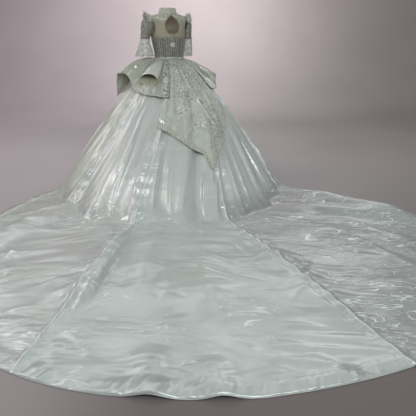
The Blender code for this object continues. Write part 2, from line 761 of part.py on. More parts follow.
def add_skirt():
    """Six gores, each from the waist down the cone and out to the hem."""
    for gore in GORES:
        places = [(drop, 0.0) for drop in CONE_DROPS]
        places += [(WAIST_HEIGHT, (k + 1) / gore.floor_rows) for k in range(gore.floor_rows)]
        azimuths = gore_azimuths(gore)
        inner = [[skirt_point(a, drop, along) for a in azimuths] for drop, along in places]
        normals = [[skirt_normal(a, drop, along) for a in azimuths] for drop, along in places]
        close_seams(inner, GORE_GAP)
        cloth(gore.name, inner, SATIN, SATIN_FINISH, normals=normals)


def overlay_azimuths():
    """The skirt's own columns under the overlay, so that its folds follow them."""
    found = set()
    for gore in GORES:
        found |= {round(turn_apart(a, 0.0), 4) for a in gore_azimuths(gore)}
    return sorted(a for a in found if OVERLAY[0].azimuth - 1.0 < a < OVERLAY[-1].azimuth + 1.0)


def overlay_point(azimuth, drop, out):
    """A point over the skirt, with the overlay's own pleats, at this distance off the cone."""
    share = (azimuth - OVERLAY[0].azimuth) / (OVERLAY[-1].azimuth - OVERLAY[0].azimuth)
    pleat = 0.5 - 0.5 * math.cos(2 * math.pi * OVERLAY_PLEATS * share)
    out += OVERLAY_PLEAT_DEPTH * pleat * smooth_step(0.02, 0.12, drop)
    return skirt_point(azimuth, drop, 0.0, out, DEEPEST_UNDER_OVERLAY)


def overlay_drops(azimuth):
    hem = table_value(OVERLAY, "hem_drop", azimuth)
    return [OVERLAY_TOP + (hem - OVERLAY_TOP) * k / (OVERLAY_ROWS - 1) for k in range(OVERLAY_ROWS)]


def overlay_grid():
    lift = SATIN + OVERLAY_LIFT
    azimuths = overlay_azimuths()
    return [[overlay_point(a, overlay_drops(a)[i], lift) for a in azimuths] for i in range(OVERLAY_ROWS)]


def add_overlay():
    """The embroidered panel with its pointed hem, and the beaded band along it."""

    def beads(i, j):
        return BEAD_HEIGHT if (i + j) % 2 else 0.0

    cloth("overlay_back", overlay_grid(), LACE, LACE_FINISH)
    lift = SATIN + OVERLAY_LIFT + LACE + TRIM_LIFT
    band = []
    for above_hem in (TRIM_WIDE, 0.5 * TRIM_WIDE, -0.002):
        line = []
        for azimuth in overlay_azimuths():
            hem = table_value(OVERLAY, "hem_drop", azimuth)
            line.append(overlay_point(azimuth, hem - above_hem, lift))
        band.append(line)
    cloth("overlay_trim", band, LACE, BEAD_FINISH, relief=beads)


def on_grid(grid, across, down):
    """The point of a grid at this column and row, both counted in parts."""
    j = min(len(grid[0]) - 2, int(across))
    i = min(len(grid) - 2, int(down))
    upper = grid[i][j].lerp(grid[i][j + 1], across - j)
    lower = grid[i + 1][j].lerp(grid[i + 1][j + 1], across - j)
    return upper.lerp(lower, down - i)


def flower_wall(name, petals, radius, place, facing):
    """A raised flower on a surface: rings from its eye out to its scalloped edge."""
    columns, ring_shares = petals * 2, (0.10, 0.50, 1.0)
    inner, normals = [], []
    for share in ring_shares:
        line, ways = [], []
        for j in range(columns):
            turn = 2 * math.pi * j / columns
            scallop = 0.78 + 0.22 * math.cos(petals * turn)
            reach = radius * share * (scallop if share > 0.2 else 1.0)
            line.append(place(reach * math.cos(turn), reach * math.sin(turn)))
            ways.append(facing(reach * math.cos(turn), reach * math.sin(turn)))
        inner.append(line)
        normals.append(ways)

    def cupped(i, j):
        return 0.002 if i == 1 else 0.0

    cloth(name, inner, LACE, BEAD_FINISH, around=True, normals=normals, relief=cupped)


def add_flowers():
    grid = overlay_grid()
    facings = grid_normals(grid, False)
    azimuths = overlay_azimuths()
    for number, flower in enumerate(OVERLAY_FLOWERS, start=1):
        radius_here = cone_radius(flower.azimuth, flower.drop)

        def read(rows, across, up, flower=flower, radius_here=radius_here):
            azimuth = flower.azimuth + math.degrees(across / radius_here)
            j = bisect_right(azimuths, azimuth) - 1
            column = j + (azimuth - azimuths[j]) / (azimuths[j + 1] - azimuths[j])
            hem = table_value(OVERLAY, "hem_drop", azimuth)
            share = (flower.drop - up * CONE_FACING_OUT - OVERLAY_TOP) / (hem - OVERLAY_TOP)
            return on_grid(rows, column, share * (OVERLAY_ROWS - 1))

        def facing(across, up, read=read):
            return read(facings, across, up).normalized()

        def place(across, up, flower=flower, read=read, facing=facing):
            return read(grid, across, up) + facing(across, up) * (LACE + flower.lift)

        flower_wall(f"overlay_flower_{number}", flower.petals, flower.radius, place, facing)

    def on_corset(across, up):
        z = CORSET_FLOWER_HEIGHT + up
        half_width = table_value(TORSO, "half_width", z)
        return torso_point(math.degrees(across / half_width), z, LACE + RIB_HEIGHT + SEAM_GAP)

    def corset_facing(across, up):
        z = CORSET_FLOWER_HEIGHT + up
        return torso_normal(math.degrees(across / table_value(TORSO, "half_width", z)), z)

    flower_wall("corset_flower", 6, CORSET_FLOWER_RADIUS, on_corset, corset_facing)


def pushed_out(point, clearance):
    """The point, moved away from the waist axis until it is clear of the skirt."""
    azimuth = math.degrees(math.atan2(point.x, point.y))
    drop = max(0.0, -point.z)
    on_skirt = azimuth
    for _ in range(3):
        on_skirt = azimuth - swing(on_skirt, drop)
    least = cone_radius(on_skirt, drop) + max(0.0, fold_depth(on_skirt, drop)) + clearance
    radius = math.hypot(point.x, point.y)
    if radius >= least:
        return point
    return Vector((point.x * least / radius, point.y * least / radius, point.z))


def add_loop(name, rows, side, columns):
    """A hip loop: each line of its cloth arches from the waist to the loop's open edge."""
    lines = spaced_rows(rows, columns)
    grid = []
    for down in LOOP_STEPS:
        line = []
        for row in lines:
            turn = math.radians(row.waist)
            start_radius = waist_radius(row.waist) + LOOP_START
            start = Vector((start_radius * math.sin(turn), start_radius * math.cos(turn), -LOOP_TOP))
            end = Vector((row.x, row.y, row.z))
            point = start.lerp(end, down)
            point.z += row.rise * 4 * down * (1 - down)
            point.x *= side
            over_overlay = 1 - smooth_step(33.0, 48.0, row.waist)
            clearance = LOOP_CLEARANCE + (OVERLAY_CLEARANCE - LOOP_CLEARANCE) * over_overlay
            line.append(pushed_out(point, clearance) if down > 0 else point)
        grid.append(line if side > 0 else line[::-1])
    cloth(name, grid, SATIN, SATIN_FINISH)


def skirt_drop_at(azimuth, radius):
    """How far down the cone is this wide."""
    low, high = 0.0, WAIST_HEIGHT
    for _ in range(30):
        middle = 0.5 * (low + high)
        if cone_radius(azimuth, middle) < radius:
            low = middle
        else:
            high = middle
    return low


def add_roll():
    """The left loop's rolled flute, an open tube."""
    columns = 18
    turn = math.radians(ROLL_AZIMUTH)
    out_way = Vector((math.sin(turn), math.cos(turn), 0.0))
    side_way = Vector((math.cos(turn), -math.sin(turn), 0.0))
    grid = []
    for row in spaced_rows(ROLL, 7):
        seat = -skirt_drop_at(ROLL_AZIMUTH, row.out - ROLL_LIFT)
        centre = out_way * row.out + Vector((0.0, 0.0, seat + row.half_high))
        line = []
        for j in range(columns):
            angle = -2 * math.pi * j / columns
            line.append(
                centre
                + side_way * (row.half_wide * math.cos(angle))
                + Vector((0.0, 0.0, row.half_high * math.sin(angle)))
            )
        grid.append(line)
    cloth("hip_loop_left_roll", grid, SATIN, SATIN_FINISH, around=True)


def add_waist_trim():
    """The gathered, beaded band over the waist seam."""
    rows = ((0.012, 0.0048), (0.001, 0.0056), (-0.008, 0.0140))
    columns = 36

    def gathers(i, j):
        return BEAD_HEIGHT if (i + j) % 2 else 0.0

    grid = []
    for z, out in rows:
        line = []
        for j in range(columns):
            flat = torso_point(-360.0 * j / columns, 0.0, out)
            line.append(Vector((flat.x, flat.y, z)))
        grid.append(line[::-1])
    cloth("waist_trim", grid, LACE, BEAD_FINISH, around=True, relief=gathers)


def add_epaulettes():
    """Beaded shoulder caps that end in a row of spikes."""
    columns = 2 * EPAULETTE_SPIKES
    rows = ((0.168, 0.0905, 0.060), (0.190, 0.0965, 0.066), (0.211, 0.1030, 0.071))
    for side in (1, -1):
        word = "left" if side > 0 else "right"
        grid = []
        for n, (x, high, deep) in enumerate(rows):
            closer = 0.0 if side > 0 else 0.25 * RIGHT_ARM_IN * n / 2
            line = []
            for j in range(columns + 1):
                turn = math.radians(-68.0 + 136.0 * j / columns)
                spike = EPAULETTE_SPIKE if n == 2 and j % 2 else 0.0
                y = (deep + 0.3 * spike) * math.sin(turn)
                z = ARMHOLE_HEIGHT + (high + 0.7 * spike) * math.cos(turn)
                line.append(Vector((side * (x - closer + 0.4 * spike), y, z)))
            grid.append(line if side < 0 else line[::-1])
        cloth("epaulette_" + word, grid, LACE, BEAD_FINISH)


def build():
    add_corset_back()
    add_bodice_front()
    add_yoke_back()
    add_yoke_front()
    add_collar()
    add_sleeves()
    add_epaulettes()
    add_waist_trim()
    add_skirt()
    add_overlay()
    add_flowers()
    add_loop("hip_loop_left", LEFT_LOOP, 1, 23)
    add_loop("hip_loop_right", RIGHT_LOOP, -1, 20)
    add_roll()


clear_scene()
bpy.context.scene.collection.children.link(bpy.data.collections.new("wedding_dress"))
build()
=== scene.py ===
"""Looks of a ball gown for a wedding: satin skirt and train, draped hip loops, embroidered overlay,
beaded corset, sheer yoke, high collar and bell sleeves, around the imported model. Metres, +Z up, the
origin is the middle of the waist, -Y is the front and +X the wearer's left."""

import json
import math
from collections import namedtuple

import bmesh
import bpy
import numpy as np
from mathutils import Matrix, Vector

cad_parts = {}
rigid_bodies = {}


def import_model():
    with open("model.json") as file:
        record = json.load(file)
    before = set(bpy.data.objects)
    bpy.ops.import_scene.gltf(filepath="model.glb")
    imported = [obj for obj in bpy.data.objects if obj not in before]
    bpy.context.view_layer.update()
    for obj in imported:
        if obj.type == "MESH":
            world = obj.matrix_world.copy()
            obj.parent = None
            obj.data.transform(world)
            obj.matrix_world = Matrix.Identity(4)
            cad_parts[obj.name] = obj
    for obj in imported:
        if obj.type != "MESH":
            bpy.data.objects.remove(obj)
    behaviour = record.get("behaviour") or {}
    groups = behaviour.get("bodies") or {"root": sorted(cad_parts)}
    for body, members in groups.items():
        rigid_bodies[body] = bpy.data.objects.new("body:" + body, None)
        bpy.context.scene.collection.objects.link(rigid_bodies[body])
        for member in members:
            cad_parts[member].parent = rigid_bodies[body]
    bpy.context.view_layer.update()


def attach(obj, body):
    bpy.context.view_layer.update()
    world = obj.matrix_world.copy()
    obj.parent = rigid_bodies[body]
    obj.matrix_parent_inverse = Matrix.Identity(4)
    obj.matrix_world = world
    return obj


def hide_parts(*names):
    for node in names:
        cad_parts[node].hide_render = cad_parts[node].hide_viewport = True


bl_info = {
    "name": "Ball gown",
    "version": (1, 0, 0),
    "blender": (4, 5, 0),
    "location": "View3D > Sidebar > Gown",
    "description": "Builds the gown's cloth, beading and room around the packed model",
    "category": "Object",
}

# Sizes of the gown
WAIST_HEIGHT = 1.15
FLOOR = -WAIST_HEIGHT
SATIN = 0.0022
LACE = 0.0016
OVERLAY_LIFT = 0.007
TRAIN_SWING = 14.0
CONE_OUT = 0.78
CONE_UP = 0.62
WAIST_PLEATS = 32
WAIST_PLEAT_DEPTH = 0.006
HEM_BAND = 0.088
CREASE_SHARE = 0.85
SLANT = 1.45

TorsoRing = namedtuple("TorsoRing", "z half_width back front")
TORSO = [
    TorsoRing(0.000, 0.128, 0.094, 0.100),
    TorsoRing(0.050, 0.132, 0.096, 0.104),
    TorsoRing(0.100, 0.141, 0.101, 0.112),
    TorsoRing(0.150, 0.151, 0.106, 0.120),
    TorsoRing(0.200, 0.157, 0.108, 0.124),
    TorsoRing(0.250, 0.160, 0.106, 0.120),
    TorsoRing(0.300, 0.169, 0.100, 0.108),
    TorsoRing(0.340, 0.182, 0.090, 0.092),
    TorsoRing(0.352, 0.170, 0.084, 0.086),
    TorsoRing(0.362, 0.135, 0.079, 0.080),
    TorsoRing(0.370, 0.105, 0.076, 0.075),
    TorsoRing(0.378, 0.084, 0.072, 0.070),
    TorsoRing(0.400, 0.074, 0.066, 0.062),
    TorsoRing(0.424, 0.071, 0.063, 0.059),
]

ConeRow = namedtuple("ConeRow", "drop reach")
CONE = [
    ConeRow(0.000, 0.000),
    ConeRow(0.014, 0.005),
    ConeRow(0.034, 0.044),
    ConeRow(0.080, 0.115),
    ConeRow(0.160, 0.195),
    ConeRow(0.300, 0.325),
    ConeRow(0.500, 0.490),
    ConeRow(0.800, 0.725),
    ConeRow(1.000, 0.872),
    ConeRow(1.090, 0.940),
    ConeRow(1.150, 1.000),
]

HemRow = namedtuple("HemRow", "azimuth left_foot left_hem right_foot right_hem")
HEM = [
    HemRow(0.0, 1.280, 3.060, 1.280, 3.060),
    HemRow(15.0, 1.240, 2.965, 1.285, 3.080),
    HemRow(30.0, 1.260, 2.740, 1.220, 2.900),
    HemRow(45.0, 1.210, 2.380, 1.130, 2.400),
    HemRow(55.0, 1.170, 2.060, 1.070, 1.740),
    HemRow(62.0, 1.150, 1.820, 1.045, 1.180),
    HemRow(70.0, 1.120, 1.580, 1.025, 1.065),
    HemRow(80.0, 1.090, 1.320, 1.005, 1.040),
    HemRow(88.0, 1.065, 1.130, 0.990, 1.025),
    HemRow(100.0, 1.020, 1.055, 0.970, 1.005),
    HemRow(120.0, 0.940, 0.975, 0.920, 0.955),
    HemRow(150.0, 0.850, 0.880, 0.850, 0.880),
    HemRow(180.0, 0.820, 0.850, 0.820, 0.850),
]

ConeFold = namedtuple("ConeFold", "waist foot height half_width")
CONE_FOLDS = [
    ConeFold(-172.0, -174.0, 0.020, 6.0),
    ConeFold(-158.0, -160.0, -0.018, 6.0),
    ConeFold(-143.0, -146.0, 0.024, 6.5),
    ConeFold(-127.0, -130.0, -0.022, 7.0),
    ConeFold(-112.0, -115.0, 0.028, 7.0),
    ConeFold(-97.0, -99.0, -0.022, 6.0),
    ConeFold(-84.0, -85.0, 0.032, 6.0),
    ConeFold(-71.0, -73.0, -0.026, 5.5),
    ConeFold(-60.0, -62.0, 0.034, 5.5),
    ConeFold(-46.0, -48.5, 0.030, 4.5),
    ConeFold(-39.0, -40.0, -0.048, 5.0),
    ConeFold(-29.0, -34.0, 0.038, 4.5),
    ConeFold(-21.0, -24.0, -0.022, 4.0),
    ConeFold(-10.0, -8.5, 0.030, 3.8),
    ConeFold(-3.5, -3.8, -0.050, 3.6),
    ConeFold(4.0, 4.5, 0.026, 4.0),
    ConeFold(13.0, 11.0, -0.014, 4.0),
    ConeFold(22.0, 19.0, 0.022, 4.2),
    ConeFold(30.0, 29.0, -0.020, 4.2),
    ConeFold(41.0, 40.0, 0.046, 5.5),
    ConeFold(57.0, 56.0, -0.058, 8.0),
    ConeFold(76.0, 79.0, 0.026, 7.0),
    ConeFold(88.0, 90.0, 0.028, 6.0),
    ConeFold(101.0, 103.0, -0.022, 6.0),
    ConeFold(115.0, 117.0, 0.026, 7.0),
    ConeFold(130.0, 132.0, -0.020, 7.0),
    ConeFold(146.0, 147.0, 0.024, 6.5),
    ConeFold(160.0, 161.0, -0.018, 6.0),
    ConeFold(174.0, 173.0, 0.018, 6.0),
]

# Folds where the train lies on the floor, from one place to another
FloorFold = namedtuple("FloorFold", "x0 y0 x1 y1 height half_width")
FLOOR_FOLDS = [
    FloorFold(-0.86, 0.98, -1.30, 1.90, 0.070, 0.085),
    FloorFold(-0.62, 1.22, -1.18, 1.78, 0.045, 0.090),
    FloorFold(0.05, 1.50, 0.12, 2.75, 0.030, 0.100),
    FloorFold(-0.35, 1.60, -1.05, 2.35, 0.028, 0.120),
    FloorFold(0.88, 1.28, 1.30, 1.98, 0.030, 0.100),
    FloorFold(0.35, 1.62, 0.72, 2.42, 0.018, 0.130),
    FloorFold(1.28, 0.55, 1.72, 1.00, 0.040, 0.090),
    FloorFold(1.15, 1.35, 1.90, 1.55, 0.022, 0.120),
    FloorFold(-0.15, 2.55, -0.80, 2.60, 0.020, 0.110),
    FloorFold(1.04, 2.50, 1.17, 2.84, 0.026, 0.070),
    FloorFold(0.84, 2.66, 0.90, 2.96, 0.024, 0.060),
]

# Bodice, yoke and sleeves
NECK_BASE = 0.378
COLLAR_TOP = 0.424
BUST_HEIGHT = 0.178
BUST_AZIMUTH = 148.0
BUST_OUT = 0.026
BACK_EDGE_CENTRE = 0.176
BACK_EDGE_SIDE = 0.184
SEAM_GAP = 0.0004
YOKE_GAP = 0.0007
SHEER = 0.0012
BEAD_HEIGHT = 0.0025
CORSET_RIBS = 10

EdgeRow = namedtuple("EdgeRow", "azimuth z")
FRONT_EDGE = [
    EdgeRow(90.0, 0.184),
    EdgeRow(110.0, 0.206),
    EdgeRow(132.0, 0.244),
    EdgeRow(148.0, 0.258),
    EdgeRow(165.0, 0.240),
    EdgeRow(180.0, 0.212),
]

KeyRow = namedtuple("KeyRow", "z half_width")
KEYHOLE = [
    KeyRow(0.198, 0.000),
    KeyRow(0.203, 0.026),
    KeyRow(0.214, 0.046),
    KeyRow(0.236, 0.062),
    KeyRow(0.266, 0.068),
    KeyRow(0.300, 0.059),
    KeyRow(0.328, 0.040),
    KeyRow(0.349, 0.018),
    KeyRow(0.362, 0.000),
]

ARMHOLE_HEIGHT = 0.270
ARMHOLE_HALF_HIGH = 0.082
ARMHOLE_HALF_DEEP = 0.052

SleeveRow = namedtuple("SleeveRow", "at tilt x y z half_out half_deep")
UPPER_SLEEVE = [
    SleeveRow(0.0, 90.0, 0.166, 0.000, 0.270, 0.082, 0.052),
    SleeveRow(1.0, 62.0, 0.178, 0.000, 0.270, 0.080, 0.056),
    SleeveRow(2.0, 40.0, 0.190, 0.000, 0.262, 0.066, 0.057),
    SleeveRow(3.0, 22.0, 0.202, 0.000, 0.238, 0.052, 0.055),
    SleeveRow(4.0, 8.0, 0.213, 0.001, 0.200, 0.042, 0.046),
    SleeveRow(5.0, 0.0, 0.2230, 0.0025, 0.1625, 0.038, 0.042),
]
BELL_SLEEVE = [
    SleeveRow(0.0, 0.0, 0.2232, 0.0025, 0.1610, 0.038, 0.042),
    SleeveRow(1.0, 0.0, 0.2235, -0.004, 0.125, 0.044, 0.050),
    SleeveRow(2.0, 0.0, 0.2210, -0.020, 0.085, 0.058, 0.072),
    SleeveRow(3.0, 0.0, 0.2200, -0.042, 0.045, 0.068, 0.096),
    SleeveRow(4.0, 0.0, 0.2185, -0.062, 0.0165, 0.075, 0.116),
]
RIGHT_ARM_IN = 0.038
RIGHT_BELL_SLIMMER = 0.016
BODY_CLEARANCE = 0.0080
ARMHOLE_CLEARANCE = 0.0024
BELL_WAVES = 5
BELL_WAVE_DEPTH = 0.006

# Hip loops: where each line of cloth leaves the waist and where it ends
DrapeRow = namedtuple("DrapeRow", "at waist x y z rise")
LEFT_LOOP = [
    DrapeRow(0.0, 24.0, 0.178, 0.452, -0.305, 0.000),
    DrapeRow(1.0, 31.0, 0.232, 0.424, -0.300, 0.004),
    DrapeRow(2.0, 38.0, 0.276, 0.396, -0.290, 0.000),
    DrapeRow(3.0, 46.0, 0.330, 0.350, -0.290, 0.000),
    DrapeRow(4.0, 56.0, 0.376, 0.268, -0.270, 0.004),
    DrapeRow(5.0, 66.0, 0.402, 0.165, -0.245, 0.020),
    DrapeRow(6.0, 75.0, 0.408, 0.112, -0.180, 0.034),
    DrapeRow(7.0, 83.0, 0.446, 0.062, -0.122, 0.044),
    DrapeRow(8.0, 90.0, 0.490, 0.000, -0.128, 0.044),
    DrapeRow(9.0, 97.0, 0.487, -0.056, -0.205, 0.038),
    DrapeRow(10.0, 105.0, 0.478, -0.100, -0.335, 0.022),
    DrapeRow(11.0, 120.0, 0.440, -0.215, -0.330, 0.006),
    DrapeRow(12.0, 138.0, 0.330, -0.330, -0.310, 0.002),
]
RIGHT_LOOP = [
    DrapeRow(0.0, 40.0, 0.262, 0.322, -0.250, 0.000),
    DrapeRow(1.0, 50.0, 0.342, 0.276, -0.262, 0.002),
    DrapeRow(2.0, 60.0, 0.392, 0.196, -0.262, 0.012),
    DrapeRow(3.0, 69.0, 0.416, 0.128, -0.258, 0.026),
    DrapeRow(4.0, 78.0, 0.440, 0.072, -0.205, 0.026),
    DrapeRow(5.0, 86.0, 0.470, 0.026, -0.154, 0.012),
    DrapeRow(6.0, 94.0, 0.478, -0.034, -0.158, 0.010),
    DrapeRow(7.0, 102.0, 0.480, -0.078, -0.235, 0.012),
    DrapeRow(8.0, 110.0, 0.486, -0.116, -0.330, 0.008),
    DrapeRow(9.0, 124.0, 0.420, -0.232, -0.322, 0.002),
    DrapeRow(10.0, 138.0, 0.322, -0.322, -0.302, 0.002),
]
# Folds of the loops, by share of the way round: at the waist and at the open edge
LoopFold = namedtuple("LoopFold", "waist foot height half_width")
LOOP_FOLDS = [
    LoopFold(0.06, 0.05, 0.004, 0.030),
    LoopFold(0.16, 0.12, -0.005, 0.030),
    LoopFold(0.27, 0.24, 0.007, 0.030),
    LoopFold(0.36, 0.35, -0.007, 0.026),
    LoopFold(0.44, 0.45, 0.008, 0.026),
    LoopFold(0.52, 0.54, -0.006, 0.024),
    LoopFold(0.60, 0.63, 0.008, 0.026),
    LoopFold(0.69, 0.72, -0.006, 0.028),
    LoopFold(0.79, 0.82, 0.007, 0.032),
    LoopFold(0.90, 0.92, -0.005, 0.034),
]
LOOP_CLEARANCE = 0.018
OVERLAY_CLEARANCE = 0.034
LOOP_TOP = 0.0108
LOOP_START = 0.011

RollRow = namedtuple("RollRow", "out half_wide half_high")
ROLL_AZIMUTH = 46.0
ROLL = [
    RollRow(0.185, 0.026, 0.005),
    RollRow(0.220, 0.038, 0.009),
    RollRow(0.265, 0.054, 0.017),
    RollRow(0.315, 0.068, 0.028),
    RollRow(0.365, 0.077, 0.038),
    RollRow(0.412, 0.083, 0.047),
]
ROLL_LIFT = 0.0335

OverlayRow = namedtuple("OverlayRow", "azimuth hem_drop")
OVERLAY = [
    OverlayRow(-37.0, 0.330),
    OverlayRow(-31.0, 0.450),
    OverlayRow(-25.0, 0.570),
    OverlayRow(-19.0, 0.655),
    OverlayRow(-14.0, 0.720),
    OverlayRow(-9.5, 0.815),
    OverlayRow(-6.0, 0.725),
    OverlayRow(-1.2, 0.688),
    OverlayRow(7.3, 0.621),
    OverlayRow(14.9, 0.571),
    OverlayRow(24.0, 0.520),
]
OVERLAY_TOP = 0.017
OVERLAY_PLEATS = 5
OVERLAY_PLEAT_DEPTH = 0.009
DEEPEST_UNDER_OVERLAY = -0.012
TRIM_WIDE = 0.036
TRIM_LIFT = 0.0018

Flower = namedtuple("Flower", "azimuth drop radius petals lift")
OVERLAY_FLOWERS = [
    Flower(12.0, 0.165, 0.036, 6, 0.0007),
    Flower(2.0, 0.245, 0.046, 6, 0.0018),
    Flower(-12.0, 0.330, 0.044, 5, 0.0038),
    Flower(8.0, 0.400, 0.050, 6, 0.0031),
    Flower(-6.0, 0.505, 0.056, 6, 0.0044),
    Flower(-20.0, 0.480, 0.046, 5, 0.0021),
]
CORSET_FLOWER_HEIGHT = 0.118
CORSET_FLOWER_RADIUS = 0.024
BUTTON_RADIUS = 0.0055
EPAULETTE_SPIKES = 9
EPAULETTE_SPIKE = 0.013

ConeCrease = namedtuple("ConeCrease", "azimuth0 drop0 azimuth1 drop1 height half_width sharp")

# Folds of the overlay: azimuth near the waist, half way and low down
OverlayFold = namedtuple("OverlayFold", "top middle bottom end height half_width")
OVERLAY_FOLDS = [
    OverlayFold(-1.0, -8.5, -20.0, 0.62, 0.0130, 0.011),
    OverlayFold(-3.2, -11.5, -23.5, 0.60, -0.0095, 0.014),
    OverlayFold(-13.0, -20.0, -28.0, 0.50, 0.0080, 0.016),
    OverlayFold(-19.0, -26.0, -32.0, 0.42, -0.0080, 0.016),
    OverlayFold(12.4, 11.8, 11.0, 0.56, -0.0090, 0.007),
    OverlayFold(16.4, 14.8, 14.0, 0.52, 0.0080, 0.018),
    OverlayFold(21.4, 18.6, 17.6, 0.48, -0.0085, 0.008),
    OverlayFold(5.0, 4.0, 2.0, 0.34, 0.0050, 0.010),
    OverlayFold(8.4, 7.6, 6.0, 0.30, -0.0055, 0.008),
    OverlayFold(1.8, -1.0, -4.0, 0.36, -0.0055, 0.009),
    OverlayFold(7.0, 3.0, -4.5, 0.66, 0.0030, 0.014),
]
OVERLAY_BUCKLES = [
    ConeCrease(7.5, 0.61, -2.5, 0.52, 0.010, 0.012, 1),
    ConeCrease(6.0, 0.655, -4.0, 0.57, -0.008, 0.014, 0),
    ConeCrease(23.0, 0.46, 18.0, 0.50, 0.010, 0.012, 0),
    ConeCrease(-11.0, 0.62, -19.0, 0.57, 0.008, 0.011, 1),
]

# Beaded scrolls on the overlay: where each starts, its heading, length and how far it curls
Scroll = namedtuple("Scroll", "azimuth drop heading length curl")
SCROLLS = [
    Scroll(6.0, 0.040, 100.0, 0.110, 60.0),
    Scroll(-2.0, 0.050, 80.0, 0.120, -70.0),
    Scroll(14.0, 0.060, 95.0, 0.120, 40.0),
    Scroll(-14.0, 0.070, 70.0, 0.140, -50.0),
    Scroll(-26.0, 0.080, 62.0, 0.150, 40.0),
    Scroll(20.0, 0.090, 92.0, 0.130, 55.0),
    Scroll(9.0, 0.150, 40.0, 0.110, 170.0),
    Scroll(4.0, 0.150, 140.0, 0.110, -170.0),
    Scroll(-8.0, 0.160, 60.0, 0.130, 120.0),
    Scroll(-20.0, 0.180, 55.0, 0.150, -110.0),
    Scroll(-31.0, 0.200, 60.0, 0.140, 60.0),
    Scroll(18.0, 0.200, 100.0, 0.120, -90.0),
    Scroll(2.0, 0.270, 50.0, 0.120, 150.0),
    Scroll(-4.0, 0.260, 130.0, 0.120, -150.0),
    Scroll(-14.0, 0.270, 60.0, 0.140, 100.0),
    Scroll(-24.0, 0.300, 70.0, 0.150, -90.0),
    Scroll(-31.0, 0.330, 75.0, 0.120, 70.0),
    Scroll(12.0, 0.290, 110.0, 0.100, 120.0),
    Scroll(5.0, 0.360, 60.0, 0.110, -160.0),
    Scroll(-8.0, 0.370, 70.0, 0.140, 110.0),
    Scroll(-17.0, 0.390, 75.0, 0.150, -100.0),
    Scroll(-25.0, 0.420, 80.0, 0.130, 80.0),
    Scroll(-3.0, 0.430, 100.0, 0.120, 150.0),
    Scroll(-12.0, 0.470, 80.0, 0.140, -120.0),
    Scroll(-20.0, 0.520, 80.0, 0.120, 90.0),
    Scroll(-7.0, 0.550, 70.0, 0.120, 130.0),
    Scroll(-14.0, 0.580, 90.0, 0.130, -110.0),
    Scroll(-10.0, 0.640, 90.0, 0.120, 70.0),
    Scroll(-6.0, 0.630, 70.0, 0.080, 160.0),
]

# Sprays of beads on the bodice, yoke and sleeves share these leaf sizes
LEAF_LONG = 0.016
LEAF_WIDE = 0.0065

# Gores: columns across and rows down the cone and along the floor
Gore = namedtuple("Gore", "name start end columns cone_rows floor_rows")
GORES = [
    Gore("skirt_centre_back", -12.5, 20.5, 104, 90, 120),
    Gore("skirt_back_left", 20.5, 62.0, 112, 90, 110),
    Gore("skirt_side_left", 62.0, 115.0, 84, 80, 30),
    Gore("skirt_front", 115.0, 245.0, 112, 70, 3),
    Gore("skirt_side_right", 245.0, 302.0, 90, 80, 30),
    Gore("skirt_back_right", 302.0, 347.5, 118, 95, 120),
]

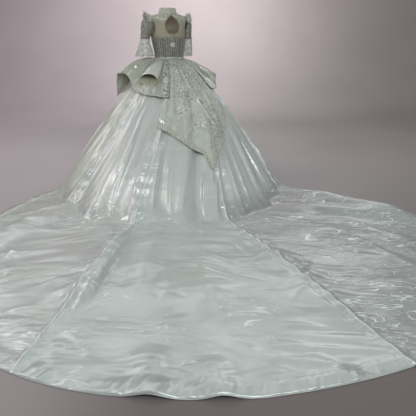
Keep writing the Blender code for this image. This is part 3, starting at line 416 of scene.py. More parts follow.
# Creases of the train on the floor: bow bends one sideways and sharp makes its crest narrow
FloorCrease = namedtuple("FloorCrease", "x0 y0 x1 y1 height half_width bow sharp")
FLOOR_CREASES = [
    FloorCrease(1.62, 0.60, 1.12, 0.69, 0.012, 0.018, -0.02, 1),
    FloorCrease(1.66, 0.74, 1.20, 0.92, 0.008, 0.030, 0.02, 0),
    FloorCrease(1.62, 1.04, 1.50, 1.28, 0.009, 0.014, 0.00, 1),
    FloorCrease(1.60, 1.26, 1.50, 1.08, 0.008, 0.014, 0.00, 1),
    FloorCrease(0.86, 1.02, 1.02, 1.40, 0.014, 0.022, 0.02, 1),
    FloorCrease(0.74, 1.08, 1.26, 2.00, 0.050, 0.050, 0.0, 0),
    FloorCrease(0.52, 1.16, 1.00, 2.06, 0.030, 0.070, 0.0, 0),
    FloorCrease(0.90, 0.76, 0.47, 1.05, 0.026, 0.014, 0.0, 1),
    FloorCrease(0.54, 1.01, 0.02, 1.30, 0.026, 0.014, 0.0, 1),
    FloorCrease(0.36, 1.34, 0.02, 1.58, 0.016, 0.050, 0.02, 0),
    FloorCrease(0.62, 1.50, 0.16, 1.72, 0.016, 0.045, -0.02, 0),
    FloorCrease(0.40, 1.90, -0.10, 2.02, 0.014, 0.040, 0.02, 0),
    FloorCrease(0.86, 2.06, 0.44, 2.26, 0.014, 0.050, 0.02, 0),
    FloorCrease(1.20, 1.30, 1.62, 1.16, 0.016, 0.040, 0.02, 0),
    FloorCrease(1.16, 1.62, 1.70, 1.46, 0.014, 0.040, -0.02, 0),
    FloorCrease(1.00, 1.60, 1.24, 2.08, -0.012, 0.040, 0.01, 0),
    FloorCrease(1.46, 1.62, 1.28, 1.70, 0.010, 0.016, 0.02, 1),
    FloorCrease(1.40, 1.82, 1.18, 1.76, 0.010, 0.018, -0.02, 1),
    FloorCrease(1.24, 1.86, 1.10, 1.68, 0.012, 0.016, 0.01, 1),
    FloorCrease(1.64, 1.92, 1.44, 1.94, 0.009, 0.016, 0.02, 1),
    FloorCrease(1.64, 2.12, 1.50, 2.10, 0.008, 0.014, -0.01, 1),
    FloorCrease(1.44, 2.18, 1.60, 2.20, 0.009, 0.014, 0.01, 1),
    FloorCrease(1.38, 2.20, 1.32, 2.35, 0.014, 0.014, 0.01, 1),
    FloorCrease(1.32, 2.35, 1.24, 2.50, 0.012, 0.014, -0.02, 1),
    FloorCrease(1.45, 2.26, 1.32, 2.40, 0.012, 0.013, 0.01, 1),
    FloorCrease(1.48, 2.36, 1.30, 2.49, 0.010, 0.013, 0.01, 1),
    FloorCrease(1.44, 2.31, 1.33, 2.42, -0.012, 0.020, 0.00, 0),
    FloorCrease(0.95, 1.66, 0.70, 1.86, 0.009, 0.030, 0.02, 0),
    FloorCrease(0.74, 1.84, 0.90, 2.18, 0.010, 0.018, 0.02, 1),
    FloorCrease(0.74, 1.84, 0.78, 2.16, 0.009, 0.018, -0.02, 1),
    FloorCrease(1.14, 2.16, 1.00, 2.24, -0.010, 0.045, 0.01, 0),
    FloorCrease(0.97, 2.33, 0.80, 2.36, 0.010, 0.020, 0.01, 1),
    FloorCrease(1.18, 2.53, 1.04, 2.62, 0.012, 0.014, 0.03, 1),
    FloorCrease(1.16, 2.58, 1.03, 2.64, 0.010, 0.012, -0.03, 1),
    FloorCrease(1.28, 2.55, 1.15, 2.65, 0.009, 0.012, 0.02, 1),
    FloorCrease(1.08, 2.66, 0.95, 2.76, 0.010, 0.013, 0.02, 1),
    FloorCrease(0.97, 2.66, 0.82, 2.72, 0.010, 0.013, -0.02, 1),
    FloorCrease(0.62, 1.60, 0.52, 2.00, 0.008, 0.050, 0.03, 0),
    FloorCrease(0.55, 2.05, 0.68, 2.45, 0.008, 0.060, -0.03, 0),
    FloorCrease(0.43, 1.74, 0.32, 2.01, 0.013, 0.017, 0.01, 1),
    FloorCrease(0.32, 2.00, 0.13, 2.18, 0.012, 0.015, 0.01, 1),
    FloorCrease(0.14, 1.55, 0.11, 2.18, 0.014, 0.018, 0.02, 1),
    FloorCrease(0.22, 1.60, 0.20, 2.10, -0.010, 0.030, 0.02, 0),
    FloorCrease(0.27, 2.46, 0.08, 2.36, 0.010, 0.014, 0.02, 1),
    FloorCrease(-0.28, 1.30, -0.58, 1.70, 0.014, 0.016, 0.02, 1),
    FloorCrease(-0.04, 2.03, 0.02, 2.22, 0.011, 0.013, 0.00, 1),
    FloorCrease(0.03, 2.21, -0.13, 2.08, 0.011, 0.013, 0.00, 1),
    FloorCrease(0.00, 2.10, -0.26, 2.33, 0.010, 0.014, 0.02, 1),
    FloorCrease(0.02, 2.33, -0.25, 2.54, 0.010, 0.014, -0.02, 1),
    FloorCrease(0.06, 2.49, -0.24, 2.69, 0.011, 0.014, 0.02, 1),
    FloorCrease(0.09, 2.65, -0.17, 2.84, 0.010, 0.014, -0.01, 1),
    FloorCrease(-0.05, 1.80, -0.36, 2.08, 0.009, 0.018, 0.02, 1),
    FloorCrease(-0.14, 2.22, -0.48, 2.42, 0.009, 0.016, 0.02, 1),
    FloorCrease(-0.18, 2.38, -0.56, 2.60, 0.010, 0.015, -0.02, 1),
    FloorCrease(-0.20, 2.58, -0.60, 2.78, 0.009, 0.015, 0.02, 1),
    FloorCrease(-0.42, 2.10, -0.70, 2.30, 0.009, 0.016, -0.02, 1),
    FloorCrease(0.47, 2.57, 0.23, 2.74, 0.011, 0.014, 0.02, 1),
    FloorCrease(0.53, 2.69, 0.23, 2.89, 0.010, 0.014, -0.01, 1),
    FloorCrease(0.61, 2.78, 0.33, 2.96, 0.010, 0.013, 0.01, 1),
    FloorCrease(0.34, 2.42, 0.14, 2.60, 0.009, 0.014, -0.01, 1),
    FloorCrease(-0.34, 1.22, -0.76, 1.50, 0.020, 0.022, -0.02, 1),
    FloorCrease(-0.74, 1.48, -0.88, 2.26, 0.024, 0.024, 0.02, 1),
    FloorCrease(-0.42, 1.34, -0.90, 1.62, -0.020, 0.050, -0.02, 0),
    FloorCrease(-0.26, 1.34, -0.52, 1.66, 0.016, 0.020, -0.02, 1),
    FloorCrease(-0.52, 1.66, -0.66, 2.44, 0.016, 0.020, 0.02, 1),
    FloorCrease(-0.84, 0.90, -1.16, 1.16, 0.012, 0.016, 0.02, 1),
    FloorCrease(-0.86, 1.02, -1.20, 1.36, 0.012, 0.016, -0.02, 1),
    FloorCrease(-0.80, 1.16, -1.08, 1.50, 0.011, 0.016, 0.02, 1),
    FloorCrease(-0.98, 1.14, -1.24, 1.56, 0.012, 0.015, 0.01, 1),
    FloorCrease(-0.90, 1.56, -1.20, 1.72, 0.010, 0.016, -0.02, 1),
    FloorCrease(-0.96, 1.74, -1.22, 1.90, 0.010, 0.016, 0.02, 1),
    FloorCrease(-0.92, 1.96, -1.16, 2.10, 0.010, 0.016, 0.02, 1),
    FloorCrease(-0.96, 2.20, -1.06, 2.36, 0.010, 0.016, 0.02, 1),
]

# Creases of the cone: azimuth and drop at both ends
CONE_CREASES = [
    ConeCrease(38.0, 0.34, 35.0, 0.92, 0.022, 0.018, 1),
    ConeCrease(35.5, 0.60, 31.0, 1.14, 0.020, 0.016, 1),
    ConeCrease(42.5, 0.34, 44.5, 1.12, 0.022, 0.018, 1),
    ConeCrease(47.0, 0.40, 50.0, 1.10, -0.020, 0.040, 0),
    ConeCrease(29.0, 0.50, 27.0, 0.90, 0.014, 0.016, 1),
    ConeCrease(25.5, 0.60, 23.0, 1.10, 0.020, 0.014, 1),
    ConeCrease(22.0, 0.62, 19.5, 1.12, -0.016, 0.030, 0),
    ConeCrease(18.0, 0.62, 14.5, 1.10, 0.018, 0.018, 1),
    ConeCrease(13.5, 0.76, 12.0, 1.12, -0.014, 0.026, 0),
    ConeCrease(10.0, 0.70, 7.5, 1.08, 0.016, 0.016, 1),
    ConeCrease(2.0, 0.74, 4.5, 1.12, 0.012, 0.030, 0),
    ConeCrease(-6.5, 0.84, -5.0, 1.13, 0.018, 0.016, 1),
    ConeCrease(-11.0, 0.88, -8.5, 1.13, 0.018, 0.014, 1),
    ConeCrease(-15.0, 0.78, -15.5, 1.12, -0.018, 0.026, 0),
    ConeCrease(-18.5, 0.70, -20.5, 1.12, 0.022, 0.015, 1),
    ConeCrease(-24.0, 0.62, -26.0, 1.12, 0.020, 0.014, 1),
    ConeCrease(-28.5, 0.55, -31.5, 1.10, -0.018, 0.026, 0),
    ConeCrease(-33.0, 0.44, -37.0, 1.10, 0.022, 0.016, 1),
    ConeCrease(-41.0, 0.36, -45.0, 1.10, 0.020, 0.018, 1),
    ConeCrease(-47.0, 0.36, -53.0, 1.10, -0.018, 0.030, 0),
    ConeCrease(-54.0, 0.36, -60.0, 1.10, 0.020, 0.018, 1),
    ConeCrease(53.0, 0.36, 60.0, 1.10, 0.018, 0.020, 1),
    ConeCrease(62.0, 0.40, 68.0, 1.06, -0.018, 0.040, 0),
    ConeCrease(71.0, 0.40, 76.0, 1.08, 0.018, 0.020, 1),
    ConeCrease(84.0, 0.44, 86.0, 1.10, 0.016, 0.022, 1),
    ConeCrease(-68.0, 0.44, -74.0, 1.08, -0.016, 0.030, 0),
    ConeCrease(-78.0, 0.44, -80.0, 1.10, 0.018, 0.022, 1),
    ConeCrease(-90.0, 0.48, -92.0, 1.10, 0.014, 0.026, 1),
    ConeCrease(-105.0, 0.40, -107.0, 1.12, 0.014, 0.024, 1),
    ConeCrease(-121.0, 0.46, -124.0, 1.08, -0.014, 0.034, 0),
    ConeCrease(-134.0, 0.38, -137.0, 1.12, 0.016, 0.024, 1),
    ConeCrease(-150.0, 0.42, -153.0, 1.06, 0.014, 0.024, 1),
    ConeCrease(-166.0, 0.50, -168.0, 1.12, -0.012, 0.036, 0),
    ConeCrease(95.0, 0.42, 98.0, 1.12, 0.014, 0.022, 1),
    ConeCrease(109.0, 0.46, 111.0, 1.08, -0.014, 0.032, 0),
    ConeCrease(122.0, 0.38, 125.0, 1.10, 0.016, 0.024, 1),
    ConeCrease(139.0, 0.44, 141.0, 1.12, 0.014, 0.026, 1),
    ConeCrease(153.0, 0.40, 155.0, 1.06, -0.014, 0.034, 0),
    ConeCrease(168.0, 0.46, 169.0, 1.12, 0.014, 0.024, 1),
    ConeCrease(180.0, 0.38, 181.0, 1.10, 0.012, 0.030, 0),
]


def curve(rows, name, at):
    """The named column of a table at these values of its first column, on a smooth curve."""
    xs = np.array([row[0] for row in rows], float)
    ys = np.array([getattr(row, name) for row in rows], float)
    slopes = np.diff(ys) / np.diff(xs)
    same = slopes[:-1] * slopes[1:] > 0
    total = np.where(same, slopes[:-1] + slopes[1:], 1.0)
    tangents = np.empty(len(xs))
    tangents[0], tangents[-1] = slopes[0], slopes[-1]
    tangents[1:-1] = np.where(same, 2 * slopes[:-1] * slopes[1:] / total, 0.0)
    at = np.clip(at, xs[0], xs[-1])
    i = np.clip(np.searchsorted(xs, at, side="right") - 1, 0, len(xs) - 2)
    step = xs[i + 1] - xs[i]
    t = (at - xs[i]) / step
    start = ys[i] * (1 + 2 * t) * (1 - t) ** 2 + step * tangents[i] * t * (1 - t) ** 2
    return start + ys[i + 1] * t * t * (3 - 2 * t) + step * tangents[i + 1] * t * t * (t - 1)


def smooth(low, high, x):
    t = np.clip((x - low) / (high - low), 0.0, 1.0)
    return t * t * (3 - 2 * t)


def apart(a, b):
    return (a - b + 180.0) % 360.0 - 180.0


def waist_radius(azimuth):
    turn = np.radians(azimuth)
    depth = np.where(np.cos(turn) > 0, TORSO[0].back, TORSO[0].front)
    return 1 / np.hypot(np.sin(turn) / TORSO[0].half_width, np.cos(turn) / depth) + LACE


def swing(azimuth, drop):
    behind = 0.5 * (1 + np.cos(np.radians(azimuth)))
    return TRAIN_SWING * behind * smooth(0.0, WAIST_HEIGHT, drop)


def hem_value(azimuth, name):
    azimuth = apart(azimuth, 0.0)
    left = curve(HEM, "left_" + name, np.abs(azimuth))
    right = curve(HEM, "right_" + name, np.abs(azimuth))
    return np.where(azimuth >= 0, left, right)


def fold_depth(azimuth, drop):
    down = np.minimum(1.0, drop / WAIST_HEIGHT)
    grown = smooth(0.08, 0.66, drop)
    depth = np.zeros(np.broadcast(azimuth, drop).shape)
    for fold in CONE_FOLDS:
        centre = fold.waist + (fold.foot - fold.waist) * down
        off = apart(azimuth, centre) / fold.half_width
        depth = depth + fold.height * grown * np.exp(-off * off)
    pleated = smooth(0.012, 0.07, drop) * (1 - smooth(0.35, 0.60, drop))
    return depth + WAIST_PLEAT_DEPTH * pleated * np.cos(np.radians(WAIST_PLEATS * azimuth))


def floor_lift(x, y):
    lift = np.zeros(x.shape)
    for fold in FLOOR_FOLDS:
        run = np.array([fold.x1 - fold.x0, fold.y1 - fold.y0])
        dx, dy = x - fold.x0, y - fold.y0
        along = (dx * run[0] + dy * run[1]) / (run @ run)
        held = np.clip(along, 0, 1)
        off = np.hypot(dx - run[0] * held, dy - run[1] * held) / fold.half_width
        taper = smooth(-0.1, 0.25, along) * (1 - smooth(0.75, 1.1, along))
        lift = lift + fold.height * taper * np.exp(-off * off)
    return lift


def cone_radius(azimuth, drop):
    waist = waist_radius(azimuth + swing(azimuth, drop))
    return waist + (hem_value(azimuth, "foot") - waist) * curve(CONE, "reach", drop)


def skirt(azimuth, drop, along=0.0, out=0.0, deepest=-1.0):
    """Points of the skirt for arrays of azimuth, drop and share of the way along the floor."""
    azimuth, drop, along, out = np.broadcast_arrays(azimuth, drop, along, out)
    turn = np.radians(azimuth + swing(azimuth, drop))
    fold = np.maximum(fold_depth(azimuth, drop), deepest)
    radius = cone_radius(azimuth, drop) + fold * (1 - smooth(0.0, 0.25, along))
    radius = radius + (hem_value(azimuth, "hem") - radius) * along + out * CONE_OUT
    x, y = radius * np.sin(turn), radius * np.cos(turn)
    settled = smooth(1.0, WAIST_HEIGHT, drop)
    return np.stack([x, y, -drop + settled * floor_lift(x, y) + out * CONE_UP], axis=-1)


def normals_of(grid, around=False):
    """Unit normals that face out, for rows from top to bottom and columns by azimuth."""
    if around:
        across = np.roll(grid, -1, axis=1) - np.roll(grid, 1, axis=1)
    else:
        across = np.gradient(grid, axis=1)
    up = -np.gradient(grid, axis=0)
    normal = np.cross(up, across)
    length = np.linalg.norm(normal, axis=-1, keepdims=True)
    return normal / np.maximum(length, 1e-12)


def line_field(x, y, x0, y0, x1, y1, crease, bow=0.0):
    """Height of one crease at each place, tapered at both ends."""
    run_x, run_y = x1 - x0, y1 - y0
    length = np.hypot(run_x, run_y)
    along = ((x - x0) * run_x + (y - y0) * run_y) / length**2
    side = ((x - x0) * -run_y + (y - y0) * run_x) / length
    off = np.abs(side - bow * 4 * along * (1 - along)) / crease.half_width
    taper = smooth(-0.08, 0.3, along) * (1 - smooth(0.7, 1.08, along))
    return crease.height * taper * np.exp(-(off if crease.sharp else off**2))


def mesh_object(name, grid, uv=None, around=False):
    """A mesh over a grid of points, with a UV map in metres of cloth."""
    rows, columns = grid.shape[:2]
    index = np.arange(rows * columns).reshape(rows, columns)
    if around:
        index = np.concatenate([index, index[:, :1]], axis=1)
    a, b, c, d = index[:-1, :-1], index[:-1, 1:], index[1:, 1:], index[1:, :-1]
    faces = np.stack([a, b, c, d], axis=-1).reshape(-1, 4)
    mesh = bpy.data.meshes.new(name)
    mesh.from_pydata(grid.reshape(-1, 3).tolist(), [], faces.tolist())
    mesh.update()
    mesh.shade_smooth()
    if uv is not None:
        layer = mesh.uv_layers.new(name="cloth")
        flat = uv.reshape(-1, 2)
        layer.data.foreach_set("uv", flat[faces.reshape(-1)].astype(np.float32).reshape(-1))
    made = bpy.data.objects.new(name, mesh)
    bpy.context.scene.collection.objects.link(made)
    return made


def cloth_uv(grid, around=False):
    """Distances along the rows and columns of a grid, in metres."""
    down = np.linalg.norm(np.diff(grid, axis=0), axis=-1)
    down = np.concatenate([np.zeros((1, grid.shape[1])), np.cumsum(down, axis=0)])
    across = np.linalg.norm(np.diff(grid, axis=1), axis=-1)
    across = np.concatenate([np.zeros((grid.shape[0], 1)), np.cumsum(across, axis=1)], axis=1)
    middle = across[:, across.shape[1] // 2 : across.shape[1] // 2 + 1]
    return np.stack([across - middle, down], axis=-1)


def thicken(piece, thickness, lining=0):
    """Gives a surface the cloth's thickness, inwards from its outer face."""
    solid = piece.modifiers.new("Thickness", "SOLIDIFY")
    solid.thickness = thickness
    solid.offset = -1.0
    solid.use_even_offset = False
    solid.material_offset = lining
    bpy.context.view_layer.objects.active = piece
    with bpy.context.temp_override(object=piece, active_object=piece):
        bpy.ops.object.modifier_apply(modifier=solid.name)


def add_material(piece, material):
    piece.data.materials.clear()
    piece.data.materials.append(material)


class Nodes:
    """A small helper that adds and joins shader nodes."""

    def __init__(self, name, world=False):
        self.material = (bpy.data.worlds if world else bpy.data.materials).new(name)
        self.material.use_nodes = True
        self.tree = self.material.node_tree
        self.shader = self.tree.nodes["Background" if world else "Principled BSDF"]

    def add(self, kind, inputs=None, **settings):
        node = self.tree.nodes.new(kind)
        for key, value in settings.items():
            setattr(node, key, value)
        for key, value in (inputs or {}).items():
            if isinstance(value, bpy.types.NodeSocket):
                self.tree.links.new(value, node.inputs[key])
            else:
                node.inputs[key].default_value = value
        return node

    def join(self, out_socket, in_socket):
        self.tree.links.new(out_socket, in_socket)

    def maths(self, operation, a, b=0.0):
        return self.add("ShaderNodeMath", {0: a, 1: b}, operation=operation).outputs[0]

    def mix(self, factor, a, b):
        node = self.add("ShaderNodeMix", data_type="RGBA")
        for key, value in ((0, factor), (6, a), (7, b)):
            if isinstance(value, bpy.types.NodeSocket):
                self.join(value, node.inputs[key])
            else:
                node.inputs[key].default_value = value
        return node.outputs[2]

    def noise(self, vector, scale, detail=3.0, roughness=0.5, distortion=0.0):
        inputs = {"Scale": scale, "Detail": detail, "Roughness": roughness, "Distortion": distortion}
        if vector is not None:
            inputs["Vector"] = vector
        return self.add("ShaderNodeTexNoise", inputs).outputs["Fac"]

    def ramp(self, value, low, high):
        node = self.add("ShaderNodeMapRange", {"Value": value, "From Min": low, "From Max": high})
        node.interpolation_type = "SMOOTHSTEP"
        return node.outputs["Result"]

    def ridges(self, vector, scale, width, detail=2.0, distortion=0.6):
        """Thin winding lines where a noise crosses its middle value."""
        value = self.noise(vector, scale, detail, 0.5, distortion)
        off = self.maths("ABSOLUTE", self.maths("SUBTRACT", value, 0.5))
        return self.maths("SUBTRACT", 1.0, self.ramp(off, 0.0, width))

    def coordinates(self, longer=(1.0, 1.0, 1.0), turn=0.0):
        """Object coordinates whose features are this much longer along turned axes."""
        place = self.add("ShaderNodeTexCoord").outputs["Object"]
        inputs = {"Vector": place, "Rotation": (0.0, 0.0, turn), "Scale": longer}
        return self.add("ShaderNodeMapping", inputs, vector_type="TEXTURE").outputs[0]


def hem_height(n):
    """A turned hem: a stitch line and uneven slanting puckers, from metres along and up from the hem."""
    place = n.add("ShaderNodeSeparateXYZ", {0: n.add("ShaderNodeUVMap", uv_map="cloth").outputs[0]})
    along, up = place.outputs[0], place.outputs[1]
    slanted = n.maths("ADD", along, n.maths("MULTIPLY", up, 0.45))
    inputs = {0: n.maths("MULTIPLY", slanted, 19.0), 1: n.maths("MULTIPLY", up, 2.2)}
    wave = n.noise(n.add("ShaderNodeCombineXYZ", inputs).outputs[0], 1.0, 1.5, 0.45, 0.4)
    deep = n.ramp(n.noise(n.add("ShaderNodeCombineXYZ", {0: along}).outputs[0], 3.1, 2.0), 0.38, 0.62)
    inside = n.maths("MULTIPLY", n.ramp(up, 0.0, 0.02), n.maths("SUBTRACT", 1.0, n.ramp(up, 0.06, 0.12)))
    puckers = n.maths("MULTIPLY", n.maths("MULTIPLY", wave, inside), n.maths("ADD", deep, 0.35))
    off_stitch = n.maths("ABSOLUTE", n.maths("SUBTRACT", up, HEM_BAND))
    stitch = n.maths("SUBTRACT", 1.0, n.ramp(off_stitch, 0.0, 0.006))
    return n.maths("SUBTRACT", n.maths("MULTIPLY", puckers, 2.6), n.maths("MULTIPLY", stitch, 0.06))


def seam_height(n):
    """A raised seam line with small creases across it, from metres to each of the gore's edges."""
    place = n.add("ShaderNodeSeparateXYZ", {0: n.add("ShaderNodeUVMap", uv_map="seam").outputs[0]})
    edge, run = place.outputs[0], place.outputs[1]
    line = n.maths("SUBTRACT", 1.0, n.ramp(edge, 0.002, 0.009))
    near = n.maths("SUBTRACT", 1.0, n.ramp(edge, 0.015, 0.085))
    inputs = {0: n.maths("MULTIPLY", edge, 7.0), 1: n.maths("MULTIPLY", run, 32.0)}
    across = n.noise(n.add("ShaderNodeCombineXYZ", inputs).outputs[0], 1.0, 1.5, 0.5, 0.5)
    busy = n.ramp(n.noise(n.add("ShaderNodeCombineXYZ", {1: run}).outputs[0], 4.0, 1.0), 0.40, 0.60)
    creased = n.maths("MULTIPLY", n.maths("MULTIPLY", across, near), busy)
    return line, n.maths("ADD", n.maths("MULTIPLY", line, 0.5), n.maths("MULTIPLY", creased, 1.3))


def satin(name, colour, crinkle_and_glint, heading=0.0, longer=3.2, roughness=0.22, gore=False, metallic=0.22, cone_lift_from_painted_shade=1.0):
    """Glossy satin with soft buckles and thin sharp crinkles that run mostly one way; the crinkle crests, and on
    gores the seam ridges, are lightened in the base colour as a painted highlight.
    """
    n = Nodes(name)
    place = n.coordinates((longer, 1.0, 2.6), math.radians(heading))
    even = n.coordinates()
    soft = n.noise(place, 3.7, 2.0, 0.5, 1.3)
    lines = n.ridges(place, 12.0, 0.020, 1.0, 0.9)
    short_lines = n.ridges(place, 24.0, 0.026, 0.5, 0.8)
    fine = n.noise(place, 60.0, 1.0, 0.4)
    begin = 0.60 - 0.16 * crinkle_and_glint
    where = n.ramp(n.noise(even, 1.9, 2.0), begin, begin + 0.12)
    where_else = n.ramp(n.noise(even, 3.1, 1.0), begin + 0.05, begin + 0.15)
    lines = n.maths("MULTIPLY", lines, where)
    short_lines = n.maths("MULTIPLY", short_lines, where_else)
    lines = n.maths("ADD", lines, n.maths("MULTIPLY", short_lines, 0.7))
    if gore:
        height_here = n.add("ShaderNodeSeparateXYZ", {0: even}).outputs[2]
        lying = n.maths("SUBTRACT", 1.0, n.ramp(height_here, FLOOR + 0.02, FLOOR + 0.16))
        lines = n.maths("MULTIPLY", lines, n.maths("ADD", n.maths("MULTIPLY", lying, 0.85), 0.15))
    if gore:
        soft = n.maths("MULTIPLY", soft, n.maths("ADD", n.maths("MULTIPLY", lying, 0.75), 0.25))
    height = n.maths("ADD", n.maths("MULTIPLY", soft, 4.2), n.maths("MULTIPLY", lines, crinkle_and_glint * 0.32))
    height = n.maths("ADD", height, n.maths("MULTIPLY", n.maths("MULTIPLY", fine, where_else), crinkle_and_glint * 0.40))
    tone = n.noise(even, 2.6, 3.0)
    dark = tuple(channel * 0.86 for channel in colour[:3]) + (1.0,)
    ground = n.mix(n.ramp(tone, 0.3, 0.7), dark, colour)
    # Painted shade: on gores the upright part takes the colour times a lift, while the part on the floor keeps the
    # darker colour.
    if gore:
        upright = tuple(channel * cone_lift_from_painted_shade for channel in colour[:3]) + (1.0,)
        ground = n.mix(lying, upright, ground)
    # Painted highlight: crinkle crests, and on gores the seam ridges, are mixed towards near-white in the base
    # colour.
    light = n.maths("MULTIPLY", lines, min(1.0, crinkle_and_glint * 0.9))
    if gore:
        seam_highlight, seam = seam_height(n)
        height = n.maths("ADD", height, n.maths("ADD", hem_height(n), seam))
        # Painted highlight along the raised seam line.
        light = n.maths("MAXIMUM", light, n.maths("MULTIPLY", seam_highlight, 0.7))
    bump = n.add("ShaderNodeBump", {"Strength": 0.80, "Distance": 0.010, "Height": height})
    weave = n.noise(even, 900.0, 1.0)
    woven = n.add("ShaderNodeBump", {"Strength": 0.08, "Distance": 0.0006, "Height": weave})
    n.join(bump.outputs[0], woven.inputs["Normal"])
    n.join(n.mix(light, ground, (0.93, 0.97, 0.95, 1.0)), n.shader.inputs["Base Color"])
    rough = n.maths("ADD", roughness, n.maths("MULTIPLY", n.noise(even, 14.0, 2.0), 0.10))
    if gore:
        rough = n.maths("ADD", rough, n.maths("MULTIPLY", n.maths("SUBTRACT", 1.0, lying), 0.07))
    n.join(rough, n.shader.inputs["Roughness"])
    n.join(woven.outputs[0], n.shader.inputs["Normal"])
    n.shader.inputs["Metallic"].default_value = metallic
    n.shader.inputs["Sheen Weight"].default_value = 0.1
    n.shader.inputs["Specular IOR Level"].default_value = 0.7
    n.shader.inputs["Coat Weight"].default_value = 0.18
    n.shader.inputs["Coat Roughness"].default_value = 0.12
    return n.material


def lace(name, ground, thread, scale, cover, opacity=1.0, ribbed=False):
    """Net with corded scrolls, small florets and sequins; opacity is the bare net's."""
    n = Nodes(name)
    place = n.add("ShaderNodeUVMap", uv_map="cloth").outputs[0]
    cords = n.ridges(place, scale, 0.075, 1.0, 1.4)
    fine_cords = n.ridges(place, scale * 2.3, 0.085, 0.5, 1.0)
    florets = n.add("ShaderNodeTexVoronoi", {"Vector": place, "Scale": scale * 1.9, "Randomness": 0.8})
    floret = n.maths("SUBTRACT", 1.0, n.ramp(florets.outputs["Distance"], 0.16, 0.30))
    motif = n.maths("MAXIMUM", n.maths("MAXIMUM", cords, n.maths("MULTIPLY", fine_cords, 0.7)), floret)
    where = n.ramp(n.noise(place, scale * 0.35, 1.5), 0.62 - cover * 0.4, 0.72 - cover * 0.35)
    motif = n.maths("MULTIPLY", motif, n.maths("ADD", n.maths("MULTIPLY", where, 0.8), 0.2))
    cells = n.add("ShaderNodeTexVoronoi", {"Vector": place, "Scale": 420.0, "Randomness": 0.25})
    hole = n.ramp(cells.outputs["Distance"], 0.52, 0.30)
    sequins = n.add("ShaderNodeTexVoronoi", {"Vector": place, "Scale": 150.0, "Randomness": 0.9})
    sequin = n.maths("SUBTRACT", 1.0, n.ramp(sequins.outputs["Distance"], 0.20, 0.34))
    picked = n.add("ShaderNodeSeparateColor", {0: sequins.outputs["Color"]}).outputs[0]
    sequin = n.maths("MULTIPLY", sequin, n.ramp(picked, 0.55, 0.65))
    if ribbed:
        rib = n.add("ShaderNodeAttribute", attribute_name="stitched").outputs["Fac"]
        dark = tuple(channel * 0.42 for channel in ground[:3]) + (1.0,)
        light = tuple(channel * 1.75 for channel in ground[:3]) + (1.0,)
        ground = n.mix(rib, dark, light)
        motif = n.maths("MULTIPLY", motif, n.maths("ADD", n.maths("MULTIPLY", rib, 0.6), 0.4))
    cloth = n.mix(motif, ground, thread)
    n.join(n.mix(sequin, cloth, (0.86, 0.88, 0.84, 1.0)), n.shader.inputs["Base Color"])
    height = n.maths("ADD", n.maths("MULTIPLY", motif, 1.0), n.maths("MULTIPLY", sequin, 0.5))
    height = n.maths("ADD", height, n.maths("MULTIPLY", hole, -0.25))
    bump = n.add("ShaderNodeBump", {"Strength": 0.9, "Distance": 0.0016, "Height": height})
    n.join(bump.outputs[0], n.shader.inputs["Normal"])
    n.join(n.maths("SUBTRACT", 0.62, n.maths("MULTIPLY", sequin, 0.45)), n.shader.inputs["Roughness"])
    if opacity < 1.0:
        bare = n.maths("ADD", opacity - 0.12, n.maths("MULTIPLY", hole, 0.24))
        n.join(n.maths("MAXIMUM", bare, n.maths("MAXIMUM", motif, sequin)), n.shader.inputs["Alpha"])
    n.shader.inputs["Sheen Weight"].default_value = 0.25
    return n.material


def embroidered(name, colour, thread):
    """Satin with couched thread and sequins where the vertices are marked as stitched."""
    n = Nodes(name)
    place = n.add("ShaderNodeUVMap", uv_map="cloth").outputs[0]
    even = n.coordinates()
    marked = n.add("ShaderNodeAttribute", attribute_name="stitched").outputs["Fac"]
    cords = n.ridges(place, 26.0, 0.10, 1.5, 1.6)
    dots = n.add("ShaderNodeTexVoronoi", {"Vector": place, "Scale": 95.0, "Randomness": 0.9})
    dot = n.maths("SUBTRACT", 1.0, n.ramp(dots.outputs["Distance"], 0.18, 0.34))
    motif = n.maths("MULTIPLY", n.maths("MAXIMUM", cords, dot), marked)
    between = n.maths("MULTIPLY", n.noise(place, 46.0, 2.0), marked)
    soft = n.noise(n.coordinates((1.0, 1.6, 2.6)), 13.0, 2.0, 0.5, 0.9)
    height = n.maths("ADD", n.maths("MULTIPLY", soft, 3.0), n.maths("MULTIPLY", motif, 0.35))
    bump = n.add("ShaderNodeBump", {"Strength": 0.8, "Distance": 0.006, "Height": height})
    weave = n.add("ShaderNodeBump", {"Strength": 0.1, "Distance": 0.0006, "Height": n.noise(even, 900.0, 1.0)})
    n.join(bump.outputs[0], weave.inputs["Normal"])
    n.join(weave.outputs[0], n.shader.inputs["Normal"])
    dark = tuple(channel * 0.30 for channel in colour[:3]) + (1.0,)
    ground = n.mix(n.maths("MULTIPLY", n.ramp(between, 0.34, 0.56), 0.9), colour, dark)
    n.join(n.mix(motif, ground, thread), n.shader.inputs["Base Color"])
    n.join(n.maths("ADD", 0.19, n.maths("MULTIPLY", marked, 0.20)), n.shader.inputs["Roughness"])
    n.shader.inputs["Metallic"].default_value = 0.3
    n.shader.inputs["Coat Weight"].default_value = 0.3
    n.shader.inputs["Coat Roughness"].default_value = 0.12
    return n.material


def glass(name, colour, other, metallic):
    """Small beads or sequins that change a little from one to the next."""
    n = Nodes(name)
    even = n.coordinates()
    tone = n.add("ShaderNodeTexVoronoi", {"Vector": even, "Scale": 260.0}).outputs["Color"]
    pick = n.add("ShaderNodeSeparateColor", {0: tone}).outputs[0]
    n.join(n.mix(n.ramp(pick, 0.2, 0.8), other, colour), n.shader.inputs["Base Color"])
    n.join(n.maths("ADD", 0.10, n.maths("MULTIPLY", pick, 0.22)), n.shader.inputs["Roughness"])
    chips = n.add("ShaderNodeBump", {"Strength": 0.3, "Distance": 0.0006, "Height": n.noise(even, 700.0, 1.0)})
    n.join(chips.outputs[0], n.shader.inputs["Normal"])
    n.shader.inputs["Metallic"].default_value = metallic
    n.shader.inputs["Coat Weight"].default_value = 0.5
    return n.material


